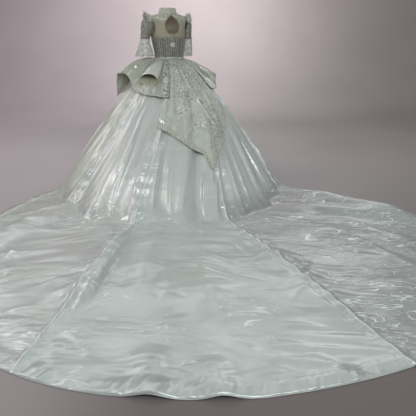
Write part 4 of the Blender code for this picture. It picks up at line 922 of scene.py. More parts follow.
def gore_grid(gore):
    """The gore's outer surface with its folds, creases, seam puckers and hem."""
    across = np.linspace(0.0, 1.0, gore.columns + 1)
    across = 0.5 * across + 0.25 * (1 - np.cos(np.pi * across))
    azimuth = (gore.start + (gore.end - gore.start) * across)[None, :]
    shares = np.linspace(0.0, 1.0, gore.cone_rows + 1)
    drops = 0.0008 + (WAIST_HEIGHT - 0.0008) * (0.35 * shares**2 + 0.65 * shares)
    drops = np.concatenate([drops, np.full(gore.floor_rows, WAIST_HEIGHT)])[:, None]
    along = np.linspace(0.0, 1.0, gore.floor_rows + 1)[1:]
    along = np.concatenate([np.zeros(gore.cone_rows + 1), along])[:, None]
    azimuth, drops, along = np.broadcast_arrays(azimuth, drops, along)
    grid = skirt(azimuth, drops, along)
    normal = normals_of(grid)
    relief = np.full(drops.shape, SATIN)
    on_floor = smooth(0.0, 0.04, along)
    floor = np.zeros(drops.shape)
    for c in FLOOR_CREASES:
        floor += line_field(grid[..., 0], grid[..., 1], c.x0, c.y0, c.x1, c.y1, c, c.bow)
    relief = relief + CREASE_SHARE * floor * on_floor
    radius = np.hypot(grid[..., 0], grid[..., 1])
    slant = drops * SLANT
    under = curve(OVERLAY, "hem_drop", apart(azimuth, 0.0))
    covered = (apart(azimuth, 0.0) > OVERLAY[0].azimuth) & (apart(azimuth, 0.0) < OVERLAY[-1].azimuth)
    clear = np.where(covered, smooth(under - 0.01, under + 0.06, drops), smooth(0.3, 0.4, drops))
    for c in CONE_CREASES:
        middle = 0.5 * (c.azimuth0 + c.azimuth1)
        from_middle = np.radians(apart(azimuth, middle)) * radius
        reach = math.radians(c.azimuth1 - middle) * radius
        height = line_field(from_middle, slant, -reach, c.drop0 * SLANT, reach, c.drop1 * SLANT, c)
        relief = relief + (1 - on_floor) * clear * height
    down = cloth_uv(grid)[..., 1]
    hem_arc = np.radians(azimuth) * hem_value(azimuth, "hem")
    uv = np.stack([hem_arc, down[-1:] - down], axis=-1)
    edge = np.minimum(np.radians(azimuth - gore.start), np.radians(gore.end - azimuth)) * radius
    seam = 0.006 * np.exp(-((edge / 0.012) ** 2)) - 0.006 * np.exp(-(((edge - 0.034) / 0.016) ** 2))
    pucker = np.sin(down * 48.0 + 2 * np.sin(down * 9.0)) * np.exp(-((edge / 0.07) ** 2))
    relief = relief + (seam + 0.0035 * pucker) * smooth(0.25, 0.5, drops)
    grid = grid + normal * relief[..., None]
    low = FLOOR + SATIN + 0.0002
    grid[..., 2] = np.maximum(grid[..., 2], low)
    return grid, uv, np.stack([edge, down], axis=-1)


def add_uv(piece, name, places, rows, columns, around=False):
    """A second UV map from a grid of pairs, for a mesh that is still one sheet."""
    layer = piece.data.uv_layers.new(name=name)
    corners = np.empty(len(piece.data.loops), int)
    piece.data.loops.foreach_get("vertex_index", corners)
    flat = places.reshape(-1, 2)[corners]
    layer.data.foreach_set("uv", flat.astype(np.float32).reshape(-1))


def cloth_area(grid, around=False):
    """The area of a grid of points, in square metres."""
    if around:
        grid = np.concatenate([grid, grid[:, :1]], axis=1)
    a, b, c, d = grid[:-1, :-1], grid[:-1, 1:], grid[1:, 1:], grid[1:, :-1]
    return 0.5 * float(np.sum(np.linalg.norm(np.cross(c - a, d - b), axis=-1)))


def declare(grid, around=False):
    """Works out the size of a piece of cloth's cut; nothing is kept or returned."""
    ring = np.concatenate([grid, grid[:, :1]], axis=1) if around else grid
    widths = np.linalg.norm(np.diff(ring, axis=1), axis=-1).sum(axis=1)
    lengths = np.linalg.norm(np.diff(ring, axis=0), axis=-1).sum(axis=0)
    area = cloth_area(grid, around)
    width, length = float(widths.max()), float(lengths.max())
    width = min(max(width, 1.002 * area / length), area / (0.35 * length))


def build_skirt():
    # The gores are one satin. Their slightly different tints are painted reflection, and the darker colours of the
    # side gores and, most of all, the back right gore are painted shade on the train.
    gore_tones_with_painted_shade = {
        "skirt_centre_back": ((0.58, 0.62, 0.60, 1.0), 0.65, -28.0, 0.19),
        "skirt_back_left": ((0.60, 0.615, 0.60, 1.0), 0.85, -12.0, 0.18),
        "skirt_side_left": ((0.53, 0.545, 0.50, 1.0), 0.5, 0.0, 0.22),
        "skirt_front": ((0.60, 0.63, 0.59, 1.0), 0.5, 90.0, 0.25),
        "skirt_side_right": ((0.53, 0.555, 0.53, 1.0), 0.7, -20.0, 0.20),
        "skirt_back_right": ((0.44, 0.46, 0.445, 1.0), 1.2, -26.0, 0.17),
    }
    for gore in GORES:
        grid, uv, edges = gore_grid(gore)
        piece = mesh_object(gore.name + "_satin", grid, uv)
        add_uv(piece, "seam", edges, *grid.shape[:2])
        thicken(piece, 0.0015)
        colour, crinkle_and_glint, heading, roughness = gore_tones_with_painted_shade[gore.name]
        # The back right gore's upright part is lifted back up, so its darker colour stays as painted shade only where
        # it lies on the floor.
        lift = 1.38 if gore.name == "skirt_back_right" else 1.0
        material = satin(gore.name + "_cloth", colour, crinkle_and_glint, heading, 2.8, roughness, gore=True, cone_lift_from_painted_shade=lift)
        add_material(piece, material)
        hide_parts(gore.name)
        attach(piece, "root")
        declare(grid)


def torso(azimuth, z, out=0.0):
    """Points of the bodice, by azimuth from the centre back towards the wearer's left."""
    azimuth, z, out = np.broadcast_arrays(azimuth, z, out)
    turn = np.radians(azimuth)
    half_width = curve(TORSO, "half_width", z) + out
    behind = np.cos(turn) > 0
    depth = np.where(behind, curve(TORSO, "back", z), curve(TORSO, "front", z)) + out
    bust = np.zeros(depth.shape)
    for side in (-1, 1):
        across = apart(azimuth, side * BUST_AZIMUTH) / 22.0
        bust = bust + BUST_OUT * np.exp(-(across**2) - ((z - BUST_HEIGHT) / 0.055) ** 2)
    return np.stack([half_width * np.sin(turn), (depth + bust) * np.cos(turn), z], axis=-1)


def raised(grid, relief, around=False):
    """The grid moved out along its normals by this height."""
    return grid + normals_of(grid, around) * np.broadcast_to(relief, grid.shape[:2])[..., None]


def flipped(grid):
    """The other side's grid, with its columns still running by increasing azimuth."""
    other = grid[:, ::-1].copy()
    other[..., 0] *= -1
    return other


def add_shell(name, grid, material, thickness, nodes, around=False, stitched=None, lining=None):
    piece = mesh_object(name, grid, cloth_uv(grid), around)
    add_material(piece, material)
    if lining is not None:
        piece.data.materials.append(lining)
    if stitched is not None:
        layer = piece.data.attributes.new("stitched", "FLOAT", "POINT")
        marks = np.broadcast_to(stitched, grid.shape[:2]).astype(np.float32)
        layer.data.foreach_set("value", marks.reshape(-1))
    thicken(piece, thickness, 0 if lining is None else 1)
    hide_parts(*nodes)
    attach(piece, "root")
    declare(grid, around)
    return piece


BEAD = (
    np.array([(0, 0, 1), (0.9, 0, 0.1), (0, 0.9, 0.1), (-0.9, 0, 0.1), (0, -0.9, 0.1), (0, 0, -0.5)]),
    np.array([(0, 1, 2), (0, 2, 3), (0, 3, 4), (0, 4, 1), (5, 2, 1), (5, 3, 2), (5, 4, 3), (5, 1, 4)]),
)
HEX = [(math.cos(math.radians(60 * k)), math.sin(math.radians(60 * k)), 0.0) for k in range(6)]
SEQUIN = (
    np.array([(0, 0, 0.28)] + HEX),
    np.array([(0, k + 1, (k + 1) % 6 + 1) for k in range(6)]),
)
LEAF = (
    np.array([(0, 0, 0.1), (0.5, 0.5, 0.0), (0.55, 0, 0.42), (0.5, -0.5, 0.0), (1.0, 0, 0.05)]),
    np.array([(0, 3, 2), (0, 2, 1), (1, 2, 4), (3, 4, 2)]),
)


def scatter(name, shape, points, normals, sizes, turns, material):
    """Copies of one small shape at each point, standing on the cloth, joined in one mesh."""
    points, normals = np.asarray(points, float), np.asarray(normals, float)
    count = len(points)
    normals = normals / np.linalg.norm(normals, axis=-1, keepdims=True)
    sizes = np.broadcast_to(np.asarray(sizes, float).reshape(-1, 1), (count, 3)) if np.ndim(sizes) < 2 else sizes
    helper = np.where(np.abs(normals[:, 2:3]) < 0.9, np.array([[0.0, 0.0, 1.0]]), np.array([[1.0, 0.0, 0.0]]))
    first = np.cross(helper, normals)
    first /= np.linalg.norm(first, axis=-1, keepdims=True)
    second = np.cross(normals, first)
    turns = np.broadcast_to(np.asarray(turns, float), (count,))[:, None]
    along = first * np.cos(turns) + second * np.sin(turns)
    side = np.cross(normals, along)
    corners, faces = shape
    local = corners[None, :, :] * np.asarray(sizes)[:, None, :]
    placed = points[:, None, :] + local[..., :1] * along[:, None, :] + local[..., 1:2] * side[:, None, :]
    placed = placed + local[..., 2:3] * normals[:, None, :]
    index = faces[None, :, :] + (np.arange(count) * len(corners))[:, None, None]
    mesh = bpy.data.meshes.new(name)
    mesh.from_pydata(placed.reshape(-1, 3).tolist(), [], index.reshape(-1, 3).tolist())
    mesh.update()
    mesh.shade_smooth()
    made = bpy.data.objects.new(name, mesh)
    bpy.context.scene.collection.objects.link(made)
    add_material(made, material)
    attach(made, "root")
    return made


def on_surface(surface, a, b, step_a, step_b):
    """Points and outward normals of a surface of two numbers, the second growing downwards."""
    point = surface(a, b)
    across = surface(a + step_a, b) - surface(a - step_a, b)
    down = surface(a, b + step_b) - surface(a, b - step_b)
    normal = np.cross(-down, across)
    return point, normal / np.maximum(np.linalg.norm(normal, axis=-1, keepdims=True), 1e-12)


def back_edge(azimuth):
    share = (np.abs(azimuth) / 90.0) ** 2
    return BACK_EDGE_CENTRE + (BACK_EDGE_SIDE - BACK_EDGE_CENTRE) * share


def panel(first, last, columns, rows, top, bottom):
    """Azimuths and heights of a panel between two edges."""
    azimuth = np.linspace(first, last, columns)[None, :]
    down = np.linspace(0.0, 1.0, rows)[:, None]
    high = top(azimuth)
    return np.broadcast_arrays(azimuth, high + (bottom - high) * down)


def build_bodice(materials):
    azimuth, z = panel(0.1, 89.9, 121, 50, back_edge, 0.0)
    rib = 0.5 + 0.5 * np.cos(2 * np.pi * azimuth / (90.0 / CORSET_RIBS) - np.pi)
    beaded = 0.25 * np.sin(z * 2 * np.pi / 0.0075)
    gathered = 0.0012 * smooth(0.05, 0.0, z) * np.sin(np.radians(azimuth) * 90)
    relief = LACE + 0.0016 * rib**3 * (1 + beaded) + gathered
    grid = raised(torso(azimuth, z), relief)
    ribs = rib**2 * (0.6 + 0.4 * np.sin(azimuth * 0.9 + 1.0)) + 0 * z
    cloth = materials["corset"]
    add_shell("corset_back_left_lace", grid, cloth, 0.0014, ["corset_back_left"], stitched=ribs)
    other, ribs = flipped(grid), ribs[:, ::-1]
    add_shell("corset_back_right_lace", other, cloth, 0.0014, ["corset_back_right"], stitched=ribs)

    def cups(azimuth):
        return curve(FRONT_EDGE, "z", azimuth)

    azimuth, z = panel(90.1, 179.9, 91, 50, cups, 0.0)
    swirl = 0.0009 * np.sin(z * 95 + 2.2 * np.sin(np.radians(azimuth) * 7)) * smooth(0.0, 0.03, z)
    grid = raised(torso(azimuth, z), LACE + 0.0005 + swirl)
    inside = materials["inside"]
    cloth = materials["front"]
    add_shell("bodice_front_left_lace", grid, cloth, 0.0014, ["bodice_front_left"], lining=inside)
    other = flipped(grid)
    add_shell("bodice_front_right_lace", other, cloth, 0.0014, ["bodice_front_right"], lining=inside)


def armhole_azimuth(z, side):
    up = np.clip((z - ARMHOLE_HEIGHT) / ARMHOLE_HALF_HIGH, -1, 1)
    reach = ARMHOLE_HALF_DEEP * np.sqrt(1 - up * up)
    return np.minimum(89.9, np.degrees(np.arccos(reach / curve(TORSO, side, z))))


def yoke_back_places(rows, columns):
    up = 0.5 + 0.5 * np.cos(np.linspace(0.0, np.pi, rows))
    first = 0.177
    level = (first + (NECK_BASE - first) * up)[:, None]
    up = up[:, None]
    edge = (BACK_EDGE_SIDE + YOKE_GAP) * (1 - up) + NECK_BASE * up
    opening = curve(KEYHOLE, "half_width", level) / curve(TORSO, "half_width", level)
    start = np.maximum(np.degrees(np.arcsin(opening)), 0.1)
    end = armhole_azimuth(edge, "back")
    share = np.linspace(0.0, 1.0, columns)[None, :]
    bottom = back_edge(90.0 * share) + YOKE_GAP
    return start + (end - start) * share, bottom * (1 - up) + NECK_BASE * up


def build_yoke(materials):
    azimuth, z = yoke_back_places(50, 30)
    ripple = 0.0006 * np.sin(z * 140 + azimuth * 0.12)
    grid = raised(torso(azimuth, z), SHEER + ripple)
    add_shell("yoke_back_left_net", grid, materials["illusion"], 0.0009, ["yoke_back_left"])
    other = flipped(grid)
    add_shell("yoke_back_right_net", other, materials["illusion"], 0.0009, ["yoke_back_right"])
    up = np.linspace(1.0, 0.0, 40)[:, None]
    edge = (FRONT_EDGE[0].z + YOKE_GAP) * (1 - up) + NECK_BASE * up
    share = np.linspace(-1.0, 1.0, 81)[None, :]
    bottom = curve(FRONT_EDGE, "z", 180.0 - 90.0 * np.abs(share)) + YOKE_GAP
    azimuth = 180.0 + armhole_azimuth(edge, "front") * share
    z = bottom * (1 - up) + NECK_BASE * up
    grid = raised(torso(azimuth, z), SHEER)
    net = materials["illusion"]
    add_shell("yoke_front_net", grid, net, 0.0009, ["yoke_front"], lining=materials["inside"])


def tube(name, points, radius, sides, material, closed=False):
    """A round piping along these points."""
    points = np.asarray(points, float)
    ahead = np.gradient(points, axis=0)
    if closed:
        ahead = np.roll(points, -1, axis=0) - np.roll(points, 1, axis=0)
    ahead /= np.maximum(np.linalg.norm(ahead, axis=-1, keepdims=True), 1e-9)
    out = points * np.array([1.0, 1.0, 0.0])
    out /= np.maximum(np.linalg.norm(out, axis=-1, keepdims=True), 1e-9)
    side = np.cross(ahead, out)
    side /= np.maximum(np.linalg.norm(side, axis=-1, keepdims=True), 1e-9)
    out = np.cross(side, ahead)
    turn = np.linspace(0.0, 2 * np.pi, sides, endpoint=False)
    ring = radius * (np.cos(turn)[None, :, None] * out[:, None] + np.sin(turn)[None, :, None] * side[:, None])
    grid = points[:, None] + ring
    if closed:
        grid = np.concatenate([grid, grid[:1]], axis=0)
    piece = mesh_object(name, grid, cloth_uv(grid), around=True)
    add_material(piece, material)
    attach(piece, "root")
    return piece


def torso_bead_places(count, seed, azimuths, heights, keep):
    """Seeded places on the bodice and the normals there, kept by a test of azimuth and height."""
    rng = np.random.default_rng(seed)
    azimuth = rng.uniform(*azimuths, count)
    z = rng.uniform(*heights, count)
    picked = keep(azimuth, z, rng.uniform(0, 1, count))
    near = lambda a, b: torso(a, -b, 2 * LACE + 0.0010)
    return on_surface(near, azimuth[picked], -z[picked], 0.2, 0.001)


def build_corset_beads(materials):
    """Beads down each rib, leaf sprays round the motif and on the front."""
    rng = np.random.default_rng(3)
    near = lambda a, b: torso(a, -b, 2 * LACE + 0.0016)
    ribs = (np.arange(-CORSET_RIBS, CORSET_RIBS) + 0.5) * 90.0 / CORSET_RIBS
    z = np.arange(0.016, BACK_EDGE_CENTRE - 0.003, 0.0052)
    azimuth, z = [part.reshape(-1) for part in np.meshgrid(ribs, z)]
    clear = np.hypot(azimuth * 0.0026, z - CORSET_FLOWER_HEIGHT) > CORSET_FLOWER_RADIUS
    place, normal = on_surface(near, azimuth[clear], -z[clear], 0.2, 0.001)
    sizes = rng.uniform(0.0013, 0.0021, len(place))
    scatter("corset_rib_beads", BEAD, place, normal, sizes, 0.0, materials["pearl"])

    def on_front(azimuth, z, chance):
        edge = curve(FRONT_EDGE, "z", np.abs(apart(azimuth, 0.0)))
        wave = np.abs(np.sin(z * 70 + 3.0 * np.sin(np.radians(azimuth) * 6)))
        return (np.abs(apart(azimuth, 0.0)) > 91) & (z < edge - 0.006) & (wave > 0.55)

    place, normal = torso_bead_places(2600, 21, (90.0, 270.0), (0.012, 0.255), on_front)
    turns = rng.uniform(0.0, 2 * math.pi, len(place))
    scale = rng.uniform(0.5, 0.85, (len(place), 1))
    sizes = np.array([[LEAF_LONG, LEAF_WIDE, 0.004]]) * scale
    scatter("bodice_front_leaves", LEAF, place, normal, sizes, turns, materials["thread"])

    def on_back(azimuth, z, chance):
        spray = np.exp(-((np.abs(azimuth) - 5.0) / 7.0) ** 2 - ((z - 0.105) / 0.045) ** 2)
        edge = np.exp(-(((back_edge(azimuth) - z) / 0.010) ** 2))
        return (chance < np.maximum(spray, 0.8 * edge)) & (z < back_edge(azimuth) - 0.003)

    place, normal = torso_bead_places(1500, 22, (-89.0, 89.0), (0.012, 0.184), on_back)
    turns = rng.uniform(0.0, 2 * math.pi, len(place))
    sizes = np.array([[0.010, 0.0045, 0.003]]) * rng.uniform(0.7, 1.2, (len(place), 1))
    scatter("corset_leaves", LEAF, place, normal, sizes, turns, materials["crystal"])


def build_waist_trim(materials):
    """The gathered band over the waist seam, crowded with beads and leaves."""
    rows = np.array([(0.012, 0.0048), (0.001, 0.0056), (-0.008, 0.0140)])
    z = np.linspace(rows[0, 0], rows[-1, 0], 14)[:, None]
    out = np.interp(-z, -rows[:, 0], rows[:, 1])
    azimuth = np.linspace(0.0, 360.0, 360, endpoint=False)[None, :]
    flat = torso(azimuth, np.zeros((1, 1)), out)
    grid = np.concatenate([flat[..., :2], np.broadcast_to(z, flat.shape[:2])[..., None]], axis=-1)
    gather = 0.0016 * np.sin(np.radians(azimuth) * 72 + 1.5 * np.sin(np.radians(azimuth) * 11))
    grid = raised(grid, LACE + 0.0008 + gather * smooth(0.012, 0.006, np.abs(z - 0.002) * 0 + 0.006), around=True)
    cloth = materials["beaded"]
    add_shell("waist_trim_gathers", grid, cloth, 0.0014, ["waist_trim"], around=True)
    rng = np.random.default_rng(8)
    normal = normals_of(grid, around=True)
    row = rng.integers(0, 14, 1500)
    column = rng.integers(0, 360, 1500)
    place, facing = grid[row, column], normal[row, column]
    sizes = rng.uniform(0.0018, 0.0042, len(place))
    scatter("waist_pearls", BEAD, place, facing, sizes, 0.0, materials["crystal"])
    row, column = rng.integers(8, 14, 260), rng.integers(0, 360, 260)
    place, facing = grid[row, column], normal[row, column] + rng.normal(0.0, 0.25, (260, 3))
    sizes = np.array([[0.013, 0.006, 0.005]]) * rng.uniform(0.6, 1.2, (260, 1))
    turns = rng.uniform(0.0, 2 * math.pi, 260)
    scatter("waist_leaves", LEAF, place, facing, sizes, turns, materials["thread"])


def build_keyhole(materials):
    """A binding round the keyhole and a light curved band under it."""
    z = KEYHOLE[0].z + (KEYHOLE[-1].z - KEYHOLE[0].z) * (0.5 - 0.5 * np.cos(np.linspace(0, np.pi, 70)))
    azimuth = np.degrees(np.arcsin(curve(KEYHOLE, "half_width", z) / curve(TORSO, "half_width", z)))
    line = np.concatenate([torso(azimuth, z, 0.0022), torso(-azimuth[::-1][1:-1], z[::-1][1:-1], 0.0022)])
    tube("keyhole_binding", line, 0.0024, 8, materials["binding"], closed=True)
    near = lambda a, b: torso(a, -b, 0.0044)
    both = np.concatenate([azimuth, -azimuth]), np.concatenate([z, z])
    place, normal = on_surface(near, both[0] * 1.02, -both[1], 0.2, 0.001)
    scatter("keyhole_pearls", BEAD, place, normal, 0.0019 * np.ones(len(place)), 0.0, materials["pearl"])
    across = np.linspace(-58.0, 58.0, 90)
    low = back_edge(across) + 0.0030 + 0.007 * np.exp(-((across / 22.0) ** 2))
    band = torso(across, low, 2 * SHEER + 0.0016)
    tube("back_neckline_piping", band, 0.0021, 8, materials["binding"])
    rng = np.random.default_rng(4)
    near = lambda a, b: torso(a, -b, 2 * SHEER + 0.0028)
    place, normal = on_surface(near, across[::1], -(low + 0.004), 0.2, 0.001)
    sizes = rng.uniform(0.0014, 0.0022, len(place))
    scatter("back_neckline_beads", BEAD, place, normal, sizes, 0.0, materials["crystal"])


def build_shoulder_lace(materials):
    """Leaves and sequins that gather on the shoulders and round the collar's foot."""
    rng = np.random.default_rng(14)

    def on_yoke(azimuth, z, chance):
        side = np.abs(apart(azimuth, 0.0))
        edge = np.where(side < 90, armhole_azimuth(z, "back"), 180.0 - armhole_azimuth(z, "front") * 0.97)
        hole = curve(KEYHOLE, "half_width", np.clip(z, 0.2, 0.36)) / curve(TORSO, "half_width", z)
        outside = side > np.degrees(np.arcsin(np.clip(hole, 0, 1))) + 3.0
        inside = np.where(side < 90, side < edge - 1.0, side > edge + 2.0)
        top = smooth(0.300, 0.340, z)
        rim = np.exp(-(((side - edge) / 9.0) ** 2)) * smooth(0.27, 0.30, z)
        outside = np.where(side < 90, outside, True)
        return inside & outside & (chance < np.maximum(top, 0.7 * rim)) & (z < NECK_BASE - 0.002)

    place, normal = torso_bead_places(5200, 31, (-180.0, 180.0), (0.265, 0.377), on_yoke)
    turns = rng.uniform(0.0, 2 * math.pi, len(place))
    half = len(place) // 3
    sizes = np.array([[0.012, 0.0055, 0.0035]]) * rng.uniform(0.7, 1.3, (half, 1))
    leaf = materials["thread"]
    scatter("shoulder_leaves", LEAF, place[:half], normal[:half], sizes, turns[:half], leaf)
    normal = normal[half:] + rng.normal(0.0, 0.2, normal[half:].shape)
    sizes = rng.uniform(0.0016, 0.0030, len(place) - half)
    scatter("shoulder_sequins", SEQUIN, place[half:], normal, sizes, 0.0, materials["sequin"])


def build_collar_beads(materials):
    over = LACE + BEAD_HEIGHT + SEAM_GAP
    rng = np.random.default_rng(9)
    heights = np.array([0.381, 0.389, 0.397, 0.405, 0.413, 0.421])
    azimuth, z = [part.reshape(-1) for part in np.meshgrid(np.arange(0.0, 360.0, 5.0), heights)]
    azimuth = azimuth + np.where((z * 1000).round() % 16 > 7, 2.5, 0.0)
    lap = np.where(np.abs(apart(azimuth, 0.0)) < 14.0, over, 0.0)
    place, normal = on_surface(lambda a, b: torso(a, -b, LACE + 0.0016 + lap), azimuth, -z, 0.2, 0.001)
    sizes = np.where(np.isin(z, heights[[0, -1]]), 0.0026, 0.0018) * rng.uniform(0.9, 1.15, len(z))
    scatter("collar_pearls", BEAD, place, normal, sizes, 0.0, materials["pearl"])
    shape = bmesh.new()
    bmesh.ops.create_icosphere(shape, subdivisions=3, radius=BUTTON_RADIUS)
    seat = torso(0.0, 0.404, over + LACE + BEAD_HEIGHT + BUTTON_RADIUS + SEAM_GAP)
    for vertex in shape.verts:
        groove = 0.0004 * math.exp(-((vertex.co.y - 0.0012) / 0.0006) ** 2)
        vertex.co -= vertex.normal * groove
        vertex.co += Vector(seat.tolist())
    mesh = bpy.data.meshes.new("collar_button_pearl")
    shape.to_mesh(mesh)
    shape.free()
    mesh.shade_smooth()
    button = bpy.data.objects.new("collar_button_pearl", mesh)
    bpy.context.scene.collection.objects.link(button)
    add_material(button, materials["pearl"])
    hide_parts("collar_button")
    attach(button, "root")
    turn = np.linspace(0.0, 2 * np.pi, 40, endpoint=False)
    ring = seat + np.stack([0.0072 * np.cos(turn), 0 * turn - 0.0040, 0.0072 * np.sin(turn)], axis=-1)
    tube("collar_button_loop", ring, 0.0010, 6, materials["binding"], closed=True)


def build_collar(materials):
    lap = 7.0
    over = LACE + BEAD_HEIGHT + SEAM_GAP
    azimuth = np.linspace(-lap, 179.8, 121)[None, :]
    up = np.linspace(1.0, 0.0, 16)[:, None]
    low = NECK_BASE + 2 * SEAM_GAP
    dip = 0.0075 * (1 - np.abs(np.cos(np.radians(azimuth) * 9)) ** 1.5)
    z = low + (COLLAR_TOP - dip - low) * up
    for side, name, out in ((1, "left", over), (-1, "right", 0.0)):
        lapped = out * (1 - smooth(lap + 1.0, lap + 8.0, azimuth))
        grid = torso(azimuth, z, lapped - 0.0045 * smooth(0.3, 1.0, up))
        bead = np.abs(np.sin(azimuth * 0.9)) * np.abs(np.sin((z - NECK_BASE) * np.pi / 0.009))
        if side < 0:
            grid, bead = flipped(grid), bead[:, ::-1]
        grid = raised(grid, LACE + 0.0012 * bead)
        add_shell(f"collar_{name}_band", grid, materials["beaded"], 0.0014, [f"collar_{name}"])


def torso_side(y, z):
    depth = np.where(y > 0, curve(TORSO, "back", z), curve(TORSO, "front", z))
    inside = np.maximum(0.0, 1 - (y / depth) ** 2)
    return curve(TORSO, "half_width", z) * np.sqrt(inside)


def sleeve_rings(rows, count, columns, closer, slimmer, waves):
    """Rings down the arm for the left side, clear of the bodice."""
    at = np.linspace(0.0, rows[-1].at, count)[:, None]
    turn = -np.linspace(0.0, 2 * np.pi, columns, endpoint=False)[None, :]
    read = {name: curve(rows, name, at) for name in SleeveRow._fields[1:]}
    tilt = np.radians(read["tilt"])
    down = at / rows[-1].at
    wave = waves * down * np.cos(BELL_WAVES * turn)
    out = (read["half_out"] - slimmer * down + wave) * np.cos(turn)
    deep = (read["half_deep"] + wave) * np.sin(turn)
    x = read["x"] - closer * (1 - read["tilt"] / 90.0) + out * np.cos(tilt)
    z = read["z"] + out * np.sin(tilt)
    y = read["y"] + deep
    clearance = np.where(read["tilt"] > 85.0, ARMHOLE_CLEARANCE, BODY_CLEARANCE)
    side = torso_side(y, np.minimum(z, ARMHOLE_HEIGHT + ARMHOLE_HALF_HIGH)) + clearance
    x = np.where(z > 0.0, np.maximum(x, side), x)
    return np.stack([x, y, z], axis=-1)


def sample_beads(name, shape, grid, places, size, spread, material, seed):
    """Small shapes at the grid's points nearest to these rows and columns, given as shares."""
    rng = np.random.default_rng(seed)
    normal = normals_of(grid)
    row = np.clip((places[0] * (grid.shape[0] - 1)).round().astype(int), 0, grid.shape[0] - 1)
    column = np.clip((places[1] * (grid.shape[1] - 1)).round().astype(int), 0, grid.shape[1] - 1)
    facing = normal[row, column] + rng.normal(0.0, spread, (len(row), 3))
    scale = rng.uniform(0.75, 1.25, (len(row), 1))
    turns = rng.uniform(0.0, 2 * math.pi, len(row))
    point = grid[row, column] + normal[row, column] * 0.0006
    scatter(name, shape, point, facing, np.array([size]) * scale, turns, material)


def build_sleeves(materials):
    columns = 96
    quarter = columns // 4
    sides = ((1, "left", 0.0, 0.0), (-1, "right", RIGHT_ARM_IN, RIGHT_BELL_SLIMMER))
    rng = np.random.default_rng(17)
    for side, word, closer, slimmer in sides:
        upper = sleeve_rings(UPPER_SLEEVE, 52, columns, closer, 0.0, 0.0)
        bell = sleeve_rings(BELL_SLEEVE, 44, columns, closer, slimmer, BELL_WAVE_DEPTH)
        turn = np.linspace(0.0, 2 * np.pi, columns, endpoint=False)[None, :]
        down = np.linspace(0.0, 1.0, 52)[:, None]
        creases = 0.0020 * np.sin(down * 52 + 1.6 * np.sin(turn)) * smooth(0.45, 0.8, down)
        creases = creases + 0.0014 * np.sin(down * 31 + 3.0 * turn) * smooth(0.2, 0.4, down)
        upper = raised(upper, LACE + creases, around=True)
        down = np.linspace(0.0, 1.0, 44)[:, None]
        flutes = 0.0018 * np.sin(turn * 23 + np.sin(turn * 3) * 2) * smooth(0.1, 0.9, down)
        bell = raised(bell, SHEER + flutes, around=True)
        for part, start in (("outer", -quarter), ("inner", quarter)):
            picks = np.arange(start, start + 2 * quarter + 1) % columns
            for kind, grid, material, slot in (
                ("sleeve", upper[:, picks], "sleeve", "lace"),
                ("bell", bell[:, picks], "bell", "illusion"),
            ):
                name = f"{kind}_{word}_{part}"
                grid = grid if side > 0 else flipped(grid)
                add_shell(name + "_lace", grid, materials[material], 0.0009, [name])
                if kind == "sleeve":
                    row, column = rng.uniform(0.1, 0.98, 700), rng.uniform(0.0, 1.0, 700)
                    keep = np.abs(np.sin(row * 17 + 2.5 * np.sin(column * 9))) > 0.6
                    places = (row[keep], column[keep])
                    size = (0.011, 0.0048, 0.003)
                    # The leaves take the dark thread, whose dark colour is painted shade.
                    sample_beads(name + "_leaves", LEAF, grid, places, size, 0.1, materials["shaded_dark_thread"], 41)
                else:
                    streak = rng.integers(0, 13, 900)
                    row = rng.uniform(0.0, 1.0, 900) ** 0.8
                    column = (streak + 0.5) / 13 + 0.10 * (row - 0.5) + rng.normal(0.0, 0.008, 900)
                    places = (row, np.clip(column, 0, 1))
                    sample_beads(name + "_sequins", SEQUIN, grid, places, (0.0030,) * 3, 0.3, materials["sequin"], 42)
                    column = np.linspace(0.0, 1.0, 49)
                    places = (np.full(49, 0.99), column)
                    sample_beads(name + "_hem_beads", BEAD, grid, places, (0.0026,) * 3, 0.1, materials["pearl"], 43)


def epaulette_point(side, turn, row):
    """Points of a shoulder cap: the turn over the shoulder in degrees, and 0 to 2 outwards."""
    closer = (0.0 if side > 0 else 0.25 * RIGHT_ARM_IN) * row / 2
    x = np.interp(row, (0, 1, 2), (0.168, 0.190, 0.211))
    high = np.interp(row, (0, 1, 2), (0.0905, 0.0965, 0.1030))
    deep = np.interp(row, (0, 1, 2), (0.060, 0.066, 0.071))
    column = (turn + 68.0) / 136.0 * 2 * EPAULETTE_SPIKES
    tip = 1 - np.abs(np.mod(column, 2.0) - 1.0)
    spike = EPAULETTE_SPIKE * tip**1.4 * smooth(0.9, 2.0, row)
    angle = np.radians(turn)
    y = (deep + 0.3 * spike) * np.sin(angle)
    z = ARMHOLE_HEIGHT + (high + 0.7 * spike) * np.cos(angle)
    return np.stack([side * (x - closer + 0.4 * spike), y, z], axis=-1)


